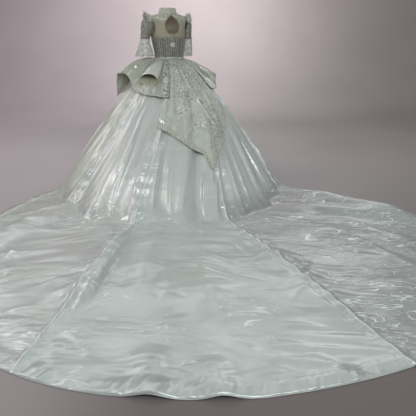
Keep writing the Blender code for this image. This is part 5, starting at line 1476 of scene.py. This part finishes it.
def build_epaulettes(materials):
    rng = np.random.default_rng(19)
    turn = np.linspace(68.0, -68.0, 163)[None, :]
    row = np.linspace(0.0, 2.0, 22)[:, None]
    for side, word in ((1, "left"), (-1, "right")):
        grid = epaulette_point(side, *np.broadcast_arrays(turn if side > 0 else -turn, row))
        ripple = 0.0010 * np.cos(np.radians(turn) * 2 * EPAULETTE_SPIKES * 180 / 136) * smooth(0.2, 1.0, row)
        grid = raised(grid, LACE + ripple)
        add_shell(f"epaulette_{word}_lace", grid, materials["beaded"], 0.0014, [f"epaulette_{word}"])
        count = 620
        places = (rng.uniform(0.02, 0.98, count), rng.uniform(0.0, 1.0, count))
        name = f"epaulette_{word}"
        sample_beads(name + "_pearls", BEAD, grid, places, (0.0021,) * 3, 0.1, materials["pearl"], 44)
        spikes = (np.arange(EPAULETTE_SPIKES) * 2 + 1) / (2 * EPAULETTE_SPIKES)
        for layer, row_at in enumerate((0.42, 0.66, 0.88)):
            places = (np.full(EPAULETTE_SPIKES, row_at), spikes)
            size = (0.0075, 0.0055, 0.0045)
            sample_beads(f"{name}_stones_{layer}", BEAD, grid, places, size, 0.0, materials["crystal"], 45)
        root = grid[13, np.clip((spikes * 162).astype(int), 0, 162)]
        tip = grid[21, np.clip((spikes * 162).astype(int), 0, 162)]
        share = np.linspace(0.0, 1.12, 9)[:, None, None]
        beads = (root[None] + (tip - root)[None] * share + np.array([0, 0, 0.0024])).reshape(-1, 3)
        facing = np.broadcast_to(np.array([[0.0, 0.0, 1.0]]), beads.shape)
        sizes = 0.0024 * np.ones(len(beads))
        scatter(name + "_spike_beads", BEAD, beads, facing, sizes, 0.0, materials["crystal"])
        count = 70
        places = (rng.uniform(0.55, 1.0, count), rng.uniform(0.0, 1.0, count))
        size = (0.024, 0.0060, 0.006)
        sample_beads(name + "_feathers", LEAF, grid, places, size, 0.75, materials["thread"], 47)


def overlay(azimuth, drop, out):
    """Points over the skirt with the overlay's own pleats, this far off the cone."""
    azimuth, drop, out = np.broadcast_arrays(azimuth, drop, out)
    share = (azimuth - OVERLAY[0].azimuth) / (OVERLAY[-1].azimuth - OVERLAY[0].azimuth)
    pleat = 0.5 - 0.5 * np.cos(2 * np.pi * OVERLAY_PLEATS * share)
    out = out + OVERLAY_PLEAT_DEPTH * pleat * smooth(0.02, 0.12, drop)
    return skirt(azimuth, drop, 0.0, out, DEEPEST_UNDER_OVERLAY)


def stitched_share(azimuth, drop):
    """How much of the overlay is embroidered at each place, from 0 to 1."""
    upper = 1 - smooth(0.34, 0.46, drop + 0.004 * np.abs(azimuth - 4.0))
    right = smooth(-9.0, -13.0, azimuth) * smooth(0.02, 0.10, drop)
    plain_fold = np.exp(-(((azimuth - 12.5 - 6.0 * drop) / 2.6) ** 2)) * smooth(0.05, 0.12, drop)
    cover = np.maximum(upper * 0.95, right * (0.55 + 0.4 * smooth(0.25, 0.55, drop)))
    left_fold = np.exp(-(((azimuth - 20.5) / 2.6) ** 2)) * smooth(0.04, 0.08, drop) * (1 - smooth(0.25, 0.33, drop))
    return np.clip(np.maximum(cover * (1 - 0.9 * plain_fold), left_fold), 0.0, 1.0)


def overlay_relief(azimuth, drop):
    """Height of the overlay's folds and buckles."""
    azimuth, drop = np.broadcast_arrays(np.asarray(azimuth, float), np.asarray(drop, float))
    radius = cone_radius(azimuth, drop)
    relief = 0.0014 * np.sin(azimuth * 0.9 + 1.1 * np.sin(azimuth * 0.31) + drop * 3)
    for fold in OVERLAY_FOLDS:
        centre = np.interp(drop, (0.07, 0.34, 0.60), (fold.top, fold.middle, fold.bottom))
        off = np.abs(np.radians(azimuth - centre)) * radius / (fold.half_width * (0.5 + drop))
        faded = 1 - smooth(fold.end - 0.12, fold.end, drop)
        relief = relief + fold.height * faded * np.exp(-(off**1.5))
    for c in OVERLAY_BUCKLES:
        across = np.radians(azimuth - 0.5 * (c.azimuth0 + c.azimuth1)) * radius
        reach = np.radians(0.5 * (c.azimuth1 - c.azimuth0)) * radius
        relief = relief + line_field(across, drop * SLANT, -reach, c.drop0 * SLANT, reach, c.drop1 * SLANT, c)
    return np.maximum(relief * smooth(0.03, 0.10, drop), -0.0085)


def overlay_surface(azimuth, drop, height=0.0):
    """Points on the overlay's outer face, this much above it."""
    lift = SATIN + OVERLAY_LIFT + 2 * LACE + 0.0012 + overlay_relief(azimuth, drop) + height
    return overlay(azimuth, drop, lift)


def build_overlay(materials):
    azimuth = np.linspace(OVERLAY[0].azimuth, OVERLAY[-1].azimuth, 141)[None, :]
    hem = curve(OVERLAY, "hem_drop", azimuth)
    down = np.linspace(0.0, 1.0, 120)[:, None]
    drop = OVERLAY_TOP + (hem - OVERLAY_TOP) * down
    grid = overlay_surface(azimuth, drop)
    marks = stitched_share(azimuth, drop)
    cloth = materials["overlay"]
    add_shell("overlay_back_satin", grid, cloth, 0.0014, ["overlay_back"], stitched=marks)
    lift = 0.0030
    share = np.linspace(1.0, -0.05, 14)[:, None]
    azimuth = np.linspace(OVERLAY[0].azimuth, OVERLAY[-1].azimuth, 181)[None, :]
    hem = curve(OVERLAY, "hem_drop", azimuth)
    grid = overlay_surface(azimuth, hem - TRIM_WIDE * share, lift)
    arc = np.cumsum(np.linalg.norm(np.diff(grid[-1], axis=0), axis=-1))
    arc = np.concatenate([[0.0], arc])[None, :]
    scallop = 0.0012 * np.abs(np.sin(arc * np.pi / 0.018)) * np.abs(np.sin(share * np.pi))
    grid = raised(grid, scallop)
    add_shell("overlay_trim_band", grid, materials["beaded"], 0.0014, ["overlay_trim"])


def build_trim_beads(materials):
    """Three rows of beads and pointed leaves along the overlay's edge."""
    rng = np.random.default_rng(5)
    fine = np.linspace(OVERLAY[0].azimuth + 0.2, OVERLAY[-1].azimuth - 0.2, 900)
    hem = curve(OVERLAY, "hem_drop", fine)
    edge = overlay_surface(fine, hem - 0.004, 0.004)
    arc = np.concatenate([[0.0], np.cumsum(np.linalg.norm(np.diff(edge, axis=0), axis=-1))])
    points, normals, sizes = [], [], []
    for inset, pitch, size in ((0.003, 0.0075, 0.0032), (0.018, 0.0062, 0.0026), (0.033, 0.0070, 0.0030)):
        at = np.arange(0.003, arc[-1] - 0.003, pitch)
        azimuth = np.interp(at, arc, fine)
        wave = 0.0035 * np.abs(np.sin(at * math.pi / 0.036)) if inset > 0.01 else 0.0
        drop = np.interp(at, arc, hem) - inset * CONE_OUT - wave
        place, normal = on_surface(lambda a, b: overlay_surface(a, b, 0.0045), azimuth, drop, 0.2, 0.002)
        points.append(place)
        normals.append(normal)
        sizes.append(size * rng.uniform(0.8, 1.15, len(at)))
    points, normals, sizes = np.concatenate(points), np.concatenate(normals), np.concatenate(sizes)
    scatter("overlay_trim_pearls", BEAD, points, normals, sizes, 0.0, materials["pearl"])
    at = np.arange(0.006, arc[-1] - 0.006, 0.0125)
    azimuth = np.interp(at, arc, fine)
    drop = np.interp(at, arc, hem) - 0.012
    place, normal = on_surface(lambda a, b: overlay_surface(a, b, 0.0045), azimuth, drop, 0.2, 0.002)
    sizes = np.array([[0.015, 0.0075, 0.006]]) * rng.uniform(0.8, 1.2, (len(at), 1))
    turns = rng.uniform(0.0, 2 * math.pi, len(at))
    scatter("overlay_trim_leaves", LEAF, place, normal, sizes, turns, materials["crystal"])


def scroll_beads(surface, scroll, pitch, slant):
    """Parameters of the beads along one curled stem, and of the leaves beside it."""
    count = int(scroll.length / pitch)
    share = np.linspace(0.0, 1.0, count)
    heading = np.radians(scroll.heading + scroll.curl * share**1.3)
    x = np.concatenate([[0.0], np.cumsum(np.cos(heading[:-1]) * pitch)])
    y = np.concatenate([[0.0], np.cumsum(np.sin(heading[:-1]) * pitch)])
    azimuth0, drop0 = scroll.azimuth, scroll.drop
    radius = cone_radius(np.array(azimuth0), np.array(drop0))
    return azimuth0 - np.degrees(x / radius), drop0 + y / slant, heading


def inside_overlay(azimuth, drop, margin):
    hem = curve(OVERLAY, "hem_drop", azimuth)
    wide = (azimuth > OVERLAY[0].azimuth + 0.6) & (azimuth < OVERLAY[-1].azimuth - 0.6)
    return wide & (drop < hem - margin) & (drop > OVERLAY_TOP + 0.012)


def build_embroidery(materials):
    """Beaded stems with leaves, and sequins between them, on the overlay."""
    rng = np.random.default_rng(11)
    near = lambda a, b: overlay_surface(a, b, 0.0006)
    stem_a, stem_d, leaf_a, leaf_d, leaf_turn = [], [], [], [], []
    for scroll in SCROLLS:
        for mirror in (1.0, 0.55):
            curl = scroll.curl * (1.0 if mirror == 1.0 else -0.8)
            branch = scroll._replace(curl=curl, length=scroll.length * mirror)
            azimuth, drop, heading = scroll_beads(near, branch, 0.0040, SLANT)
            stem_a.append(azimuth)
            stem_d.append(drop)
            picks = np.arange(2, len(azimuth), 3)
            for side in (-1.0, 1.0):
                leaf_a.append(azimuth[picks])
                leaf_d.append(drop[picks])
                leaf_turn.append(heading[picks] + side * 0.9)
    azimuth, drop = np.concatenate(stem_a), np.concatenate(stem_d)
    keep = inside_overlay(azimuth, drop, 0.04)
    place, normal = on_surface(near, azimuth[keep], drop[keep], 0.2, 0.002)
    sizes = rng.uniform(0.0017, 0.0026, len(place))
    scatter("overlay_stem_beads", BEAD, place, normal, sizes, 0.0, materials["crystal"])
    azimuth, drop = np.concatenate(leaf_a), np.concatenate(leaf_d)
    turn = np.concatenate(leaf_turn)
    keep = inside_overlay(azimuth, drop, 0.05)
    place, normal = on_surface(near, azimuth[keep], drop[keep], 0.2, 0.002)
    scale = rng.uniform(0.7, 1.25, (len(place), 1))
    sizes = np.array([[LEAF_LONG, LEAF_WIDE, 0.004]]) * scale
    scatter("overlay_leaves", LEAF, place, normal, sizes, -turn[keep], materials["thread"])
    azimuth = rng.uniform(OVERLAY[0].azimuth, OVERLAY[-1].azimuth, 9000)
    drop = rng.uniform(0.03, 0.80, 9000)
    keep = inside_overlay(azimuth, drop, 0.03) & (rng.uniform(0, 1, 9000) < stitched_share(azimuth, drop) * 0.9)
    place, normal = on_surface(near, azimuth[keep], drop[keep], 0.2, 0.002)
    normal = normal + rng.normal(0.0, 0.22, normal.shape)
    sizes = rng.uniform(0.0018, 0.0034, len(place))
    scatter("overlay_sequins", SEQUIN, place, normal, sizes, 0.0, materials["sequin"])


def flower_piece(name, surface, flower, slant, material, beads, node, depth, metres):
    """A raised flower with cupped petals, ridged veins, a beaded rim and a bead heart."""
    rows, columns = 16, flower.petals * 14
    share = np.linspace(0.10, 1.0, rows)[:, None]
    turn = -np.linspace(0.0, 2 * np.pi, columns, endpoint=False)[None, :]
    scallop = 0.78 + 0.22 * np.cos(flower.petals * turn)
    reach = flower.radius * share * (scallop * smooth(0.1, 0.5, share) + 1 - smooth(0.1, 0.5, share))
    across, up = reach * np.cos(turn), reach * np.sin(turn)
    cup = np.sin(np.pi * np.clip(share, 0, 1) ** 0.8) * (0.5 + 0.5 * np.cos(flower.petals * turn))
    vein = 0.12 * np.cos(flower.petals * 5 * turn) * smooth(0.3, 0.8, share) * (1 - smooth(0.9, 1.0, share))
    height = depth * (0.35 + 0.65 * cup + vein)
    a, b = flower.azimuth + metres(across), flower.drop - up / slant
    base, normal = on_surface(surface, a, b, 0.2, 0.002)
    grid = base + normal * height[..., None]
    piece = mesh_object(name, grid[::-1], cloth_uv(grid[::-1]), around=True)
    thicken(piece, 0.0010)
    add_material(piece, material)
    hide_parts(node)
    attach(piece, "root")
    declare(grid[::-1], around=True)
    rim = np.arange(0, columns, 2)
    points, normals = [grid[-1, rim]], [normal[-1, rim]]
    for ring, count in ((0, 7), (3, flower.petals)):
        picks = np.linspace(0, columns, count, endpoint=False).astype(int)
        points.append(grid[ring, picks])
        normals.append(normal[ring, picks])
    points.append(grid[0].mean(axis=0)[None, :])
    normals.append(normal[0].mean(axis=0)[None, :])
    points, normals = np.concatenate(points), np.concatenate(normals)
    sizes = np.full(len(points), 0.0021 * flower.radius / 0.045)
    sizes[-1] *= 1.8
    scatter(name + "_beads", BEAD, points, normals, sizes, 0.0, beads)


def build_flowers(materials):
    for number, flower in enumerate(OVERLAY_FLOWERS, start=1):
        radius = cone_radius(np.array(flower.azimuth), np.array(flower.drop))
        node = f"overlay_flower_{number}"
        flower_piece(node + "_applique", lambda a, b, f=flower: overlay_surface(a, b, 0.0012 + f.lift), flower,
                     1 / CONE_OUT, materials["thread"], materials["pearl"], node, 0.0042,
                     lambda x, r=radius: np.degrees(x / r))
    rose = Flower(0.0, -CORSET_FLOWER_HEIGHT, CORSET_FLOWER_RADIUS, 6, 0.0)
    flower_piece("corset_flower_applique", lambda a, b: torso(a, -b, LACE * 2 + 0.0022), rose, 1.0,
                 materials["thread"], materials["crystal"], "corset_flower", 0.0028,
                 lambda x: np.degrees(x / TORSO[2].half_width))


def pushed_out(points, clearance):
    """The points, moved away from the waist axis until they are clear of the skirt."""
    azimuth = np.degrees(np.arctan2(points[..., 0], points[..., 1]))
    drop = np.maximum(0.0, -points[..., 2])
    on_skirt = azimuth
    for _ in range(3):
        on_skirt = azimuth - swing(on_skirt, drop)
    least = cone_radius(on_skirt, drop) + np.maximum(0.0, fold_depth(on_skirt, drop)) + clearance
    radius = np.hypot(points[..., 0], points[..., 1])
    grown = np.maximum(1.0, least / np.maximum(radius, 1e-6))
    return points * np.stack([grown, grown, np.ones(grown.shape)], axis=-1)


def loop_grid(rows, side, count, lines):
    """Each line of the loop's cloth arches from the waist to its open edge."""
    at = np.linspace(0.0, rows[-1].at, lines)[None, :]
    down = np.linspace(0.0, 1.0, count)[:, None] ** 1.25
    read = {name: curve(rows, name, at) for name in DrapeRow._fields[1:]}
    turn = np.radians(read["waist"])
    start = waist_radius(read["waist"]) + LOOP_START
    x = start * np.sin(turn) * (1 - down) + read["x"] * down
    y = start * np.cos(turn) * (1 - down) + read["y"] * down
    z = -LOOP_TOP * (1 - down) + read["z"] * down + read["rise"] * 4 * down * (1 - down)
    over_overlay = 1 - smooth(33.0, 48.0, read["waist"])
    clearance = LOOP_CLEARANCE + (OVERLAY_CLEARANCE - LOOP_CLEARANCE) * over_overlay
    points = np.stack([side * x, y, z], axis=-1)
    pushed = pushed_out(points, np.broadcast_to(clearance, z.shape))
    grid = np.where(down[..., None] > 0, pushed, points)
    return grid if side > 0 else grid[:, ::-1]


def build_loops(materials):
    for rows, side, word in ((LEFT_LOOP, 1, "left"), (RIGHT_LOOP, -1, "right")):
        grid = loop_grid(rows, side, 56, 200)
        across = np.linspace(0.0, 1.0, 200)[None, :]
        down = np.linspace(0.0, 1.0, 56)[:, None]
        relief = np.zeros((56, 200))
        for fold in LOOP_FOLDS:
            centre = fold.waist + (fold.foot - fold.waist) * down
            off = (across - centre) / (fold.half_width * (0.35 + 0.65 * down))
            shape = np.exp(-np.abs(off) ** 1.5)
            relief = relief + 1.5 * fold.height * shape * smooth(0.0, 0.15, down) * (1 - 0.6 * smooth(0.6, 1.0, down))
        fine = 0.0022 * np.sin(across * 60 + 2 * np.sin(across * 9)) * smooth(0.0, 0.08, down)
        fine = fine * (1 - smooth(0.15, 0.7, down))
        buckle = 0.002 * np.sin(down * 13 + across * 19) * smooth(0.2, 0.6, down)
        bordered = smooth(0.80, 0.88, down) * (0.25 if side > 0 else 0.55) + 0 * across
        if side > 0:
            bordered = np.maximum(bordered, 1 - smooth(0.075, 0.105, across))
        grid = raised(grid, SATIN + 0.001 + relief + fine + buckle)
        if side < 0:
            bordered = bordered[:, ::-1]
        name = f"hip_loop_{word}"
        cloth = materials["loop"]
        add_shell(name + "_satin", grid, cloth, 0.0014, [name], stitched=bordered)
        column = np.linspace(0.01, 0.99, 170)
        places = (np.full(170, 0.985), column)
        sample_beads(name + "_edge_beads", BEAD, grid, places, (0.0026,) * 3, 0.1, materials["pearl"], 46)


def skirt_drop_at(azimuth, radius):
    drops = np.linspace(0.0, WAIST_HEIGHT, 600)
    return np.interp(radius, cone_radius(azimuth, drops), drops)


def build_roll(materials):
    out = np.linspace(ROLL[0].out, ROLL[-1].out, 40)[:, None]
    wide, high = curve(ROLL, "half_wide", out), curve(ROLL, "half_high", out)
    angle = -np.linspace(0.0, 2 * np.pi, 72, endpoint=False)[None, :]
    turn = math.radians(ROLL_AZIMUTH)
    seat = -skirt_drop_at(ROLL_AZIMUTH, out - ROLL_LIFT)
    across = wide * np.cos(angle)
    x = out * math.sin(turn) + across * math.cos(turn)
    y = out * math.cos(turn) - across * math.sin(turn)
    grid = np.stack([x, y, seat + high + high * np.sin(angle)], axis=-1)
    grid = raised(grid, SATIN, around=True)
    name = "hip_loop_left_roll"
    # The inner face takes a copy of the satin with painted light and shade.
    cloth, inner = materials["roll"], materials["roll_inside_painted_light"]
    add_shell(name + "_satin", grid, cloth, 0.0016, [name], around=True, lining=inner)


def build_materials():
    """All cloths and beads by name."""
    looks = bpy.context.scene.gown_colours
    net, corset = tuple(looks.net), tuple(looks.corset)
    satin_colour, thread = tuple(looks.draped_satin), tuple(looks.thread)
    return {
        "corset": lace("corset_lace", corset, (0.40, 0.385, 0.33, 1.0), 70.0, 0.75, ribbed=True),
        "front": lace("bodice_front_lace", corset, (0.46, 0.45, 0.40, 1.0), 62.0, 0.9),
        "illusion": lace("illusion_net", net, (0.44, 0.42, 0.31, 1.0), 60.0, 0.12, opacity=looks.net_opacity),
        "inside": lace("inside_net", (0.90, 0.74, 0.53, 1.0), (0.92, 0.78, 0.60, 1.0), 60.0, 0.1, opacity=0.75),
        # Painted shade: the upper sleeves' lace and the leaves on them get dark colours for the shade they stand in.
        "sleeve": lace("sleeve_lace", (0.20, 0.195, 0.165, 1.0), (0.42, 0.41, 0.36, 1.0), 58.0, 0.8, opacity=0.9),
        "bell": lace("bell_lace", (0.90, 0.90, 0.87, 1.0), (0.93, 0.94, 0.90, 1.0), 46.0, 0.7, opacity=0.34),
        "beaded": lace("beaded_band", (0.42, 0.42, 0.35, 1.0), (0.88, 0.89, 0.82, 1.0), 60.0, 1.0),
        "overlay": embroidered("overlay_satin", satin_colour, thread),
        # Painted shade: the hip loops get a darker, yellower copy of the draped satin.
        "loop": embroidered("loop_satin", (0.46, 0.475, 0.41, 1.0), thread),
        "roll": satin("roll_satin", (0.66, 0.68, 0.62, 1.0), 0.4, 20.0, 1.7, 0.24),
        # Painted light and shade: the roll's inner face gets a darker, yellower copy of its satin, for light coming
        # through the cloth.
        "roll_inside_painted_light": satin("roll_inside_lit_through", (0.47, 0.48, 0.35, 1.0), 0.3, 20.0, 1.7, 0.34, metallic=0.1),
        "binding": satin("binding_satin", (0.40, 0.385, 0.27, 1.0), 0.2, 0.0, 1.0, 0.30, metallic=0.1),
        "thread": glass("silver_thread", thread, (0.50, 0.50, 0.43, 1.0), 0.25),
        "shaded_dark_thread": glass("shaded_dark_thread", (0.36, 0.355, 0.31, 1.0), (0.20, 0.20, 0.17, 1.0), 0.25),
        "pearl": glass("pearls", tuple(looks.beads), (0.52, 0.52, 0.46, 1.0), 0.15),
        "crystal": glass("crystals", (0.96, 0.98, 0.94, 1.0), (0.16, 0.16, 0.13, 1.0), 0.30),
        "sequin": glass("sequins", (0.97, 0.99, 0.95, 1.0), (0.22, 0.23, 0.19, 1.0), 0.30),
    }


def build_stage():
    """A plain floor that turns up into a wall behind, with painted light and shade in its colour: a brighter band
    across the middle, and darker on the floor near the camera and on the right.
    """
    heading = Vector((-0.4226, -0.9063, 0.0))
    side = Vector((-heading.y, heading.x, 0.0))
    rows = []
    for t in np.linspace(0, 1, 40):
        if t < 0.5:
            reach, rise = -6.0 + 22.0 * t, 0.0
        else:
            turn = (t - 0.5) * 2 * math.pi / 2
            reach, rise = 5.0 + 2.5 * math.sin(turn), 2.5 * (1 - math.cos(turn)) + 3.0 * (t - 0.5)
        rows.append([heading * reach + side * s + Vector((0, 0, FLOOR - 0.001 + rise)) for s in (-9, 9)])
    grid = np.array([[list(p) for p in row] for row in rows])
    shares = np.broadcast_arrays(np.array([[1.0, 0.0]]), np.linspace(0, 1, 40)[:, None])
    floor = mesh_object("room", grid, np.stack(shares, axis=-1))
    n = Nodes("room_paint_and_painted_light")
    place = n.add("ShaderNodeSeparateXYZ", {0: n.add("ShaderNodeUVMap").outputs[0]})
    # Painted light: a brighter band across the middle of the floor and wall, falling off to both sides.
    painted_light_ramp = n.add("ShaderNodeValToRGB", {0: place.outputs[0]})
    painted_light_stops = ((0.22, (0.43, 0.37, 0.39)), (0.36, (0.41, 0.35, 0.37)), (0.52, (0.58, 0.52, 0.53)))
    painted_light_stops = painted_light_stops + ((0.66, (0.42, 0.36, 0.37)), (0.80, (0.37, 0.31, 0.31)))
    painted_light_ramp.color_ramp.interpolation = "B_SPLINE"
    while len(painted_light_ramp.color_ramp.elements) < len(painted_light_stops):
        painted_light_ramp.color_ramp.elements.new(0.5)
    for element, (at, colour) in zip(painted_light_ramp.color_ramp.elements, painted_light_stops):
        element.position = at
        element.color = (*colour, 1.0)
    tone = n.ramp(n.noise(n.coordinates(), 0.8, 2.0), 0.3, 0.7)
    mixed = n.mix(tone, painted_light_ramp.outputs[0], n.mix(0.12, painted_light_ramp.outputs[0], (0.2, 0.17, 0.18, 1.0)))
    # Painted shade: the floor near the camera is darkened, more so towards the right.
    near = n.maths("SUBTRACT", 1.0, n.ramp(place.outputs[1], 0.10, 0.32))
    painted_shade_dimmer = n.maths("ADD", 0.5, n.maths("MULTIPLY", n.ramp(place.outputs[0], 0.472, 0.512), 0.45))
    mixed = n.mix(n.maths("MULTIPLY", near, painted_shade_dimmer), mixed, (0.115, 0.093, 0.090, 1.0))
    # Painted shade: the right side of the floor is darkened.
    right = n.ramp(place.outputs[0], 0.52, 0.64)
    low = n.maths("SUBTRACT", 1.0, n.ramp(place.outputs[1], 0.38, 0.50))
    mixed = n.mix(n.maths("MULTIPLY", n.maths("MULTIPLY", right, low), 0.22), mixed, (0.16, 0.13, 0.126, 1.0))
    n.join(mixed, n.shader.inputs["Base Color"])
    n.shader.inputs["Roughness"].default_value = 0.6
    add_material(floor, n.material)


def add_light(name, place, aim, size, watts, colour):
    data = bpy.data.lights.new(name, "AREA")
    data.shape = "RECTANGLE"
    data.size, data.size_y = size
    data.energy = watts
    data.color = colour
    lamp = bpy.data.objects.new(name, data)
    lamp.location = place
    lamp.rotation_euler = (Vector(aim) - Vector(place)).to_track_quat("-Z", "Y").to_euler()
    bpy.context.scene.collection.objects.link(lamp)


def build_world():
    """Soft studio light from all round, brighter and cooler in some directions than in others."""
    n = Nodes("room_light", world=True)
    way = n.add("ShaderNodeTexCoord").outputs["Generated"]
    cloud = n.ramp(n.noise(way, 3.2, 1.5, 0.45, 0.5), 0.44, 0.57)
    parts = n.add("ShaderNodeSeparateXYZ", {0: way})
    behind = n.ramp(parts.outputs[1], -0.3, 0.7)
    cloud = n.maths("ADD", n.maths("MULTIPLY", cloud, 0.75), n.maths("MULTIPLY", behind, 0.25))
    n.join(n.mix(cloud, (0.10, 0.10, 0.08, 1.0), (0.78, 0.83, 0.83, 1.0)), n.shader.inputs[0])
    n.shader.inputs[1].default_value = 0.72
    bpy.context.scene.world = n.material


def build_lights():
    bpy.context.scene.view_settings.view_transform = "Standard"
    build_world()
    watts = bpy.context.scene.gown_stage
    add_light("ceiling", (0.0, -2.9, 3.4), (0.5, 1.6, -1.1), (6.0, 3.0), watts.ceiling, (0.96, 1.0, 1.0))
    add_light("strip", (0.2, -3.3, 2.9), (0.4, 1.6, -1.1), (5.0, 0.08), 9.0, (0.97, 1.0, 1.0))
    add_light("low_strip", (-1.5, -2.9, 1.75), (0.4, 1.6, -1.1), (6.0, 0.12), 8.0, (0.97, 1.0, 1.0))
    add_light("left_floor", (3.2, -2.6, 1.6), (1.7, -2.6, -1.15), (2.4, 2.4), 36.0, (1.0, 0.94, 0.96))
    add_light("waist_strip", (2.4, 2.4, 1.9), (0.1, 0.3, -0.2), (1.6, 0.10), 5.0, (1.0, 1.0, 0.97))
    add_light("window", (-3.8, -1.8, 1.9), (0.2, 1.4, -1.0), (2.0, 2.0), 12.0, (0.95, 0.98, 1.0))
    add_light("side", (4.2, 0.6, 2.0), (0.4, 1.0, -0.9), (1.4, 1.4), 32.0, (1.0, 0.95, 0.95))
    add_light("near", (1.2, 5.6, 2.6), (0.3, 0.8, -0.5), (3.6, 1.6), watts.near, (0.96, 1.0, 1.0))
    add_light("near_strip", (0.4, 4.6, 1.9), (0.2, 0.9, -0.5), (2.6, 0.12), 4.5, (0.97, 1.0, 1.0))
    add_light("wall_wash", (-1.6, -4.0, 2.6), (-2.4, -7.5, 1.2), (5.0, 1.6), watts.wall, (1.0, 0.97, 0.98))


def build_camera():
    data = bpy.data.cameras.new("camera")
    data.lens = 38.94
    data.sensor_width = 36.0
    camera = bpy.data.objects.new("camera", data)
    camera.location = (1.5206, 4.1127, 0.12)
    forward = Vector((-0.3971, -0.8517, -0.3420))
    camera.rotation_euler = forward.to_track_quat("-Z", "Y").to_euler()
    bpy.context.scene.collection.objects.link(camera)
    bpy.context.scene.camera = camera


for leftover in list(bpy.data.objects):
    bpy.data.objects.remove(leftover, do_unlink=True)
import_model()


def colour_property(name, description, default):
    return bpy.props.FloatVectorProperty(
        name=name, description=description, default=default, size=4, min=0.0, max=1.0, subtype="COLOR"
    )


class GownColours(bpy.types.PropertyGroup):
    """Colours of the gown's cloths and beads."""

    draped_satin: colour_property("Overlay satin", "Colour of the overlay's satin", (0.63, 0.66, 0.585, 1.0))
    thread: colour_property("Thread", "Colour of the embroidery's silver thread", (0.80, 0.82, 0.76, 1.0))
    beads: colour_property("Pearls", "Colour of the small beads", (0.84, 0.85, 0.79, 1.0))
    corset: colour_property("Corset", "Colour of the corset's lace ground", (0.215, 0.21, 0.18, 1.0))
    net: colour_property("Net", "Colour of the yoke's sheer net", (0.45, 0.405, 0.30, 1.0))
    net_opacity: bpy.props.FloatProperty(
        name="Net opacity", description="How much light the yoke's net stops", default=0.80, min=0.2, max=0.95,
        subtype="FACTOR"
    )


class GownStage(bpy.types.PropertyGroup):
    """Powers of the studio's main lights."""

    ceiling: bpy.props.FloatProperty(
        name="Ceiling", description="Power of the ceiling panel", default=30.0, min=0.0, unit="POWER"
    )
    near: bpy.props.FloatProperty(
        name="Near", description="Power of the panel behind the camera", default=112.0, min=0.0, unit="POWER"
    )
    wall: bpy.props.FloatProperty(
        name="Wall", description="Power of the light on the wall", default=142.0, min=0.0, unit="POWER"
    )


MATERIALS = {}


class GOWN_OT_skirt(bpy.types.Operator):
    """Builds the six gores of the skirt and its train"""

    bl_idname = "gown.skirt"
    bl_label = "Skirt and train"

    def execute(self, context):
        build_skirt()
        return {"FINISHED"}


class GOWN_OT_bodice(bpy.types.Operator):
    """Builds the corset back, the bodice front and the waist trim, with their beads"""

    bl_idname = "gown.bodice"
    bl_label = "Bodice"

    def execute(self, context):
        build_bodice(MATERIALS)
        build_corset_beads(MATERIALS)
        build_waist_trim(MATERIALS)
        return {"FINISHED"}


class GOWN_OT_yoke(bpy.types.Operator):
    """Builds the sheer yoke, the keyhole's binding and the beaded collar"""

    bl_idname = "gown.yoke"
    bl_label = "Yoke and collar"

    def execute(self, context):
        build_yoke(MATERIALS)
        build_keyhole(MATERIALS)
        build_shoulder_lace(MATERIALS)
        build_collar(MATERIALS)
        build_collar_beads(MATERIALS)
        return {"FINISHED"}


class GOWN_OT_sleeves(bpy.types.Operator):
    """Builds the lace sleeves, their bells and the epaulettes"""

    bl_idname = "gown.sleeves"
    bl_label = "Sleeves"

    def execute(self, context):
        build_sleeves(MATERIALS)
        build_epaulettes(MATERIALS)
        return {"FINISHED"}


class GOWN_OT_overlay(bpy.types.Operator):
    """Builds the pointed overlay with its trim, embroidery and flowers"""

    bl_idname = "gown.overlay"
    bl_label = "Overlay"

    def execute(self, context):
        build_overlay(MATERIALS)
        build_trim_beads(MATERIALS)
        build_embroidery(MATERIALS)
        build_flowers(MATERIALS)
        return {"FINISHED"}


class GOWN_OT_loops(bpy.types.Operator):
    """Builds the draped hip loops and the rolled flute"""

    bl_idname = "gown.loops"
    bl_label = "Hip loops"

    def execute(self, context):
        build_loops(MATERIALS)
        build_roll(MATERIALS)
        return {"FINISHED"}


class GOWN_OT_stage(bpy.types.Operator):
    """Builds the floor and wall, the lights and the camera"""

    bl_idname = "gown.stage"
    bl_label = "Stage"

    def execute(self, context):
        build_stage()
        build_lights()
        build_camera()
        return {"FINISHED"}


OPERATORS = (
    GOWN_OT_skirt,
    GOWN_OT_bodice,
    GOWN_OT_yoke,
    GOWN_OT_sleeves,
    GOWN_OT_overlay,
    GOWN_OT_loops,
    GOWN_OT_stage,
)


class GOWN_PT_panel(bpy.types.Panel):
    """Lists the gown's parts and its colours"""

    bl_idname = "GOWN_PT_panel"
    bl_label = "Gown"
    bl_space_type = "VIEW_3D"
    bl_region_type = "UI"
    bl_category = "Gown"

    def draw(self, context):
        for operator in OPERATORS:
            self.layout.operator(operator.bl_idname)
        for group in (context.scene.gown_colours, context.scene.gown_stage):
            for name in group.__annotations__:
                self.layout.prop(group, name)


CLASSES = (GownColours, GownStage, *OPERATORS, GOWN_PT_panel)


def register():
    for made in CLASSES:
        bpy.utils.register_class(made)
    bpy.types.Scene.gown_colours = bpy.props.PointerProperty(type=GownColours)
    bpy.types.Scene.gown_stage = bpy.props.PointerProperty(type=GownStage)


def unregister():
    del bpy.types.Scene.gown_stage
    del bpy.types.Scene.gown_colours
    for made in reversed(CLASSES):
        bpy.utils.unregister_class(made)


def main():
    register()
    MATERIALS.update(build_materials())
    bpy.ops.gown.skirt()
    bpy.ops.gown.bodice()
    bpy.ops.gown.yoke()
    bpy.ops.gown.sleeves()
    bpy.ops.gown.overlay()
    bpy.ops.gown.loops()
    bpy.ops.gown.stage()


if __name__ == "__main__":
    main()
